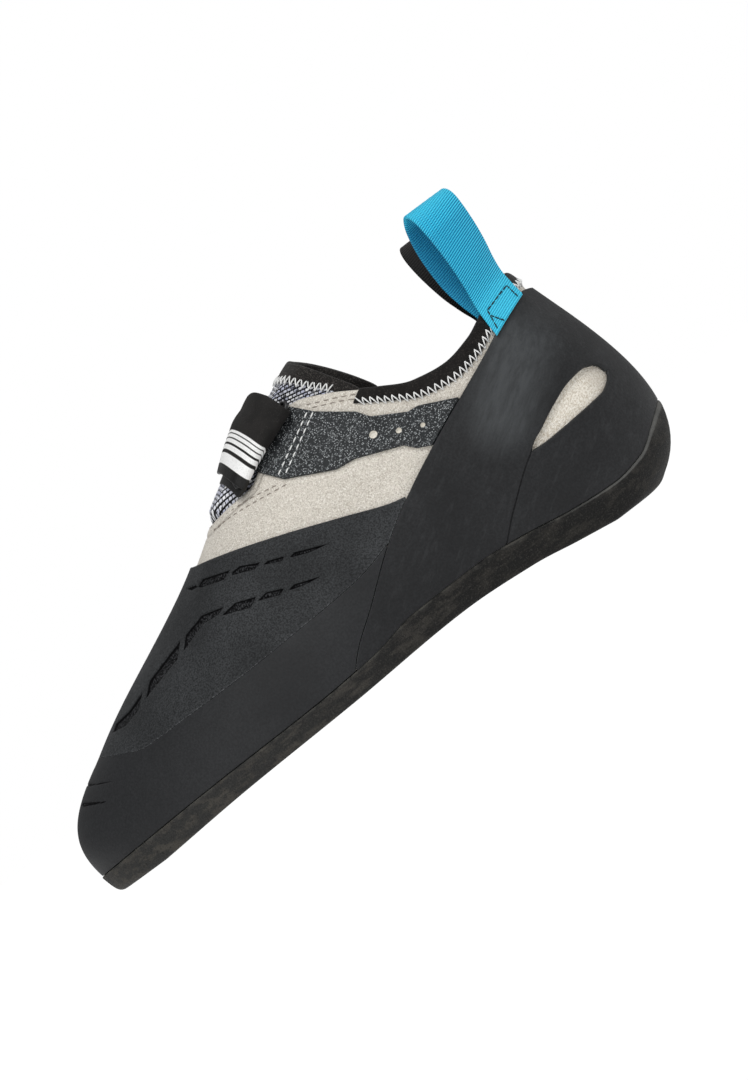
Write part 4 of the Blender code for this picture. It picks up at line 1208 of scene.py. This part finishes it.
def loop_grid(side, height, lean):
    """Middle grid of a webbing loop that straddles the collar, across by along, level at its top."""
    t = np.linspace(HEEL / 2, HEEL, 801)
    edge = last_surface(t, height_at(t, topline))
    way = way_along(edge)
    middle = np.interp(LOOP_AT, edge[:, 0], way)
    share = edge_samples(20)
    columns = np.interp(middle + (share - 0.5) * LOOP_WIDTH, way, t)
    centre = np.array([np.interp(middle, way, t)]) * side
    facing = unit(last_normal(centre, height_at(centre, topline))[0] * (1, 1, 0))
    level = np.interp(middle, way, edge[:, 2])
    grid = []
    for column, back in zip(columns, share):
        t_here = np.array([column * side])
        top, span = collar_edge(t_here)
        least = height_at(t_here, lambda x: sling_top(x) - 1.5)
        even = level - last_surface(t_here, top)[0, 2]
        line = []
        for out, up in LOOP_PATH:
            h = np.maximum(top + min(up, 0.0) / span, least)
            turn = np.clip(up / LOOP_TURN, 0.0, 1.0)
            direction = (1 - turn) * last_normal(t_here, h)[0] + turn * facing
            rise = max(up, 0.0) * height
            lifted = rise + even * np.clip(up / LOOP_LEVEL, 0.0, 1.0)
            shift = lean * (rise / LOOP_TALL) ** 1.5 + LOOP_FLARE * (back - 0.2) * min(rise / LOOP_TALL, 1.0)
            line.append(last_surface(t_here, h)[0] + out * direction + (shift, 0.0, lifted))
        grid.append(resample(line, 640))
    return np.array(grid)


def make_loop(name):
    """Webbing loop with ribs across it."""
    def rib(length):
        return 0.5 + 0.5 * np.cos(2 * np.pi * length / LOOP_RIB)

    def ridge(length):
        return LOOP_RIB_TALL * (rib(length) - 0.5)

    points, faces, length = slab(loop_grid(**LOOPS[name]), LOOP_TAPE / 2, 0.6, ridge)
    cloth = LOOP_CLOTH[name]
    # The pale layer is painted light along the loop: above 0.5 a painted highlight, below a painted shade.
    pale = np.interp(length / length[:, -1:], *np.array(LOOP_PAINTED_LIGHT).T)
    return piece(name + "_webbing", points, faces, webbing(*cloth), cloth[0], (name,), closed=True,
                 rib=np.tile(rib(length), (2, 1)), pale=np.tile(pale, (2, 1)))


def loop_stitches():
    """Black box seam that holds the blue loop to the heel."""
    face = loop_grid(**LOOPS["pull_loop_lateral"])[:, 10:130]
    out = np.cross(np.gradient(face, axis=1), np.gradient(face, axis=0)).reshape(-1, 3).mean(0)
    out = unit(out) * -np.sign(out[1])

    def powers(x, z):
        x, z = (x - LOOP_AT) / LOOP_WIDTH, (z - 80.0) / LOOP_WIDTH
        return np.stack([x ** i * z ** j for i in range(4) for j in range(4 - i)], -1)

    flat = face.reshape(-1, 3)
    depth = np.linalg.lstsq(powers(flat[:, 0], flat[:, 2]), flat[:, 1], rcond=None)[0]
    lift = LOOP_TAPE / 2 + 0.10 + 0.16 * np.sin(np.linspace(0, np.pi, 7))
    paths = []
    for (x0, z0), (x1, z1) in LOOP_SEAMS:
        count = max(1, round(math.hypot(x1 - x0, z1 - z0) / 2.1))
        for k in range(count):
            s = (k + np.linspace(0.06, 0.94, 7)) / count
            x, z = x0 + (x1 - x0) * s, z0 + (z1 - z0) * s
            paths.append(np.stack([x, powers(x, z) @ depth, z], 1) + out * lift[:, None])
    return paths


def make_insole():
    """Cloth-covered insole, a little raised along its middle."""
    t = np.linspace(0, HEEL, 161)
    rims = []
    for side in (1, -1):
        foot, out = foot_sideways(side * t)
        rims.append(foot - out * (WALL + 2 * GAP + INSOLE_INSET))
    share = edge_samples(44)
    base = rims[0][:, None] + (rims[1] - rims[0])[:, None] * share[None, :, None]
    top = base.copy()
    top[..., 2] += INSOLE - 0.5 + 0.5 * np.sqrt(np.sin(np.pi * share))
    count, rows = base.shape[0] * base.shape[1], base.shape[1]
    i = np.arange(len(t) - 1)[:, None] * rows + np.array((0, rows - 1))
    rim = np.stack([i, i + rows, i + rows + count, i + count], -1).reshape(-1, 4)
    faces = grid_faces(*base.shape[:2])
    faces = np.concatenate([faces[:, ::-1], faces + count, rim])
    points = np.concatenate([top, base])
    return piece("insole_cover", points, faces, board_cloth(), "insole_cloth", ("insole",), closed=True)


# Surroundings and camera; lengths in metres.
FLOOR_HALF, FLOOR_LINES, FLOOR_DROP = 6.0, 9, 0.0002
SKY_SEEN, SKY_LIGHT = 1.0, 0.28
# Lamps: place and size in m, power in W.
LAMPS = {
    "key": ((0.3, -1.2, 1.8), 1.1, 24.0),
    "front": ((-1.0, -1.6, 0.9), 1.4, 8.0),
    "back": ((0.2, 1.2, 1.3), 1.2, 3.0),
    "heel": ((1.5, 0.25, 0.6), 1.0, 4.0),
}
LAMP_AIM = Vector((0, 0, 0.05))
ROLL = math.radians(37.0)
AIM = Vector((0.01863, 0.0, 0.04404))
VIEW_FAR = 4.0
VIEW_HALF = 0.1836


def make_floor():
    """Wide floor just under the sole."""
    mesh = bpy.data.meshes.new("floor")
    size = np.linspace(-FLOOR_HALF, FLOOR_HALF, FLOOR_LINES)
    x, y = np.meshgrid(size, size, indexing="ij")
    points = np.stack([x, y, 0 * x - FLOOR_DROP], -1).reshape(-1, 3)
    mesh.from_pydata(points.tolist(), [], grid_faces(FLOOR_LINES, FLOOR_LINES).tolist())
    mesh.materials.append(floor_paint())
    floor = bpy.data.objects.new("floor", mesh)
    bpy.context.scene.collection.objects.link(floor)


def make_light():
    """White surroundings, dimmer as a light than they look, and soft lamps."""
    world = bpy.data.worlds.new("surroundings")
    world.use_nodes = True
    tree = world.node_tree
    back = tree.nodes["Background"]
    back.inputs["Color"].default_value = (1.0, 1.0, 1.0, 1.0)
    seen = tree.nodes.new("ShaderNodeLightPath")
    level = tree.nodes.new("ShaderNodeMapRange")
    level.inputs["To Min"].default_value = SKY_LIGHT
    level.inputs["To Max"].default_value = SKY_SEEN
    tree.links.new(seen.outputs["Is Camera Ray"], level.inputs["Value"])
    tree.links.new(level.outputs[0], back.inputs["Strength"])
    bpy.context.scene.world = world
    bpy.context.scene.view_settings.view_transform = "Standard"
    for name, (place, size, power) in LAMPS.items():
        light = bpy.data.lights.new(name, "AREA")
        light.shape = "DISK"
        light.size = size
        light.energy = power
        lamp = bpy.data.objects.new(name, light)
        bpy.context.scene.collection.objects.link(lamp)
        lamp.location = place
        lamp.rotation_euler = (LAMP_AIM - Vector(place)).to_track_quat("-Z", "Y").to_euler()


def make_camera():
    """Camera square to the outer side, rolled so that the toe points down."""
    data = bpy.data.cameras.new("camera")
    data.sensor_fit = "VERTICAL"
    data.angle = 2 * math.atan(VIEW_HALF / VIEW_FAR)
    data.clip_end = 50.0
    camera = bpy.data.objects.new("camera", data)
    bpy.context.scene.collection.objects.link(camera)
    right = Vector((math.cos(ROLL), 0, -math.sin(ROLL)))
    up = Vector((math.sin(ROLL), 0, math.cos(ROLL)))
    back = Vector((0, -1, 0))
    turned = Matrix((right, up, back)).transposed().to_4x4()
    camera.matrix_world = Matrix.Translation(AIM + VIEW_FAR * back) @ turned
    bpy.context.scene.camera = camera


def make_seams():
    """Every line of stitching, each as one mesh of threads."""
    white = thread_cloth("white_thread", (240, 240, 238), (188, 190, 190))
    grey = thread_cloth("grey_thread", (152, 143, 133), (104, 96, 88))
    dark = thread_cloth("black_thread", (16, 16, 17), (40, 40, 42))
    threads("collar_zigzag_seam", collar_zigzag(), COLLAR_THREAD, white, "binding")
    threads("tongue_zigzag_seam", tongue_zigzag(), TONGUE_THREAD, white, "binding")
    threads("panel_seam", dashes(PANEL_SEAMS, PANEL), PANEL_THREAD, white, "panel_cloth")
    threads("suede_seam", dashes(SUEDE_SEAMS, SUEDE_LIFT), SUEDE_THREAD, grey, "suede")
    threads("loop_seam", loop_stitches(), LOOP_THREAD, dark, "blue_webbing")


def main():
    """The whole scene, piece by piece."""
    make_floor()
    make_light()
    make_camera()
    make_outsole()
    make_upper()
    make_rand()
    make_patch()
    make_heel_rubber()
    make_panel()
    make_binding()
    make_tongue()
    make_strap()
    make_ring()
    for name in LOOPS:
        make_loop(name)
    make_insole()
    make_seams()


main()
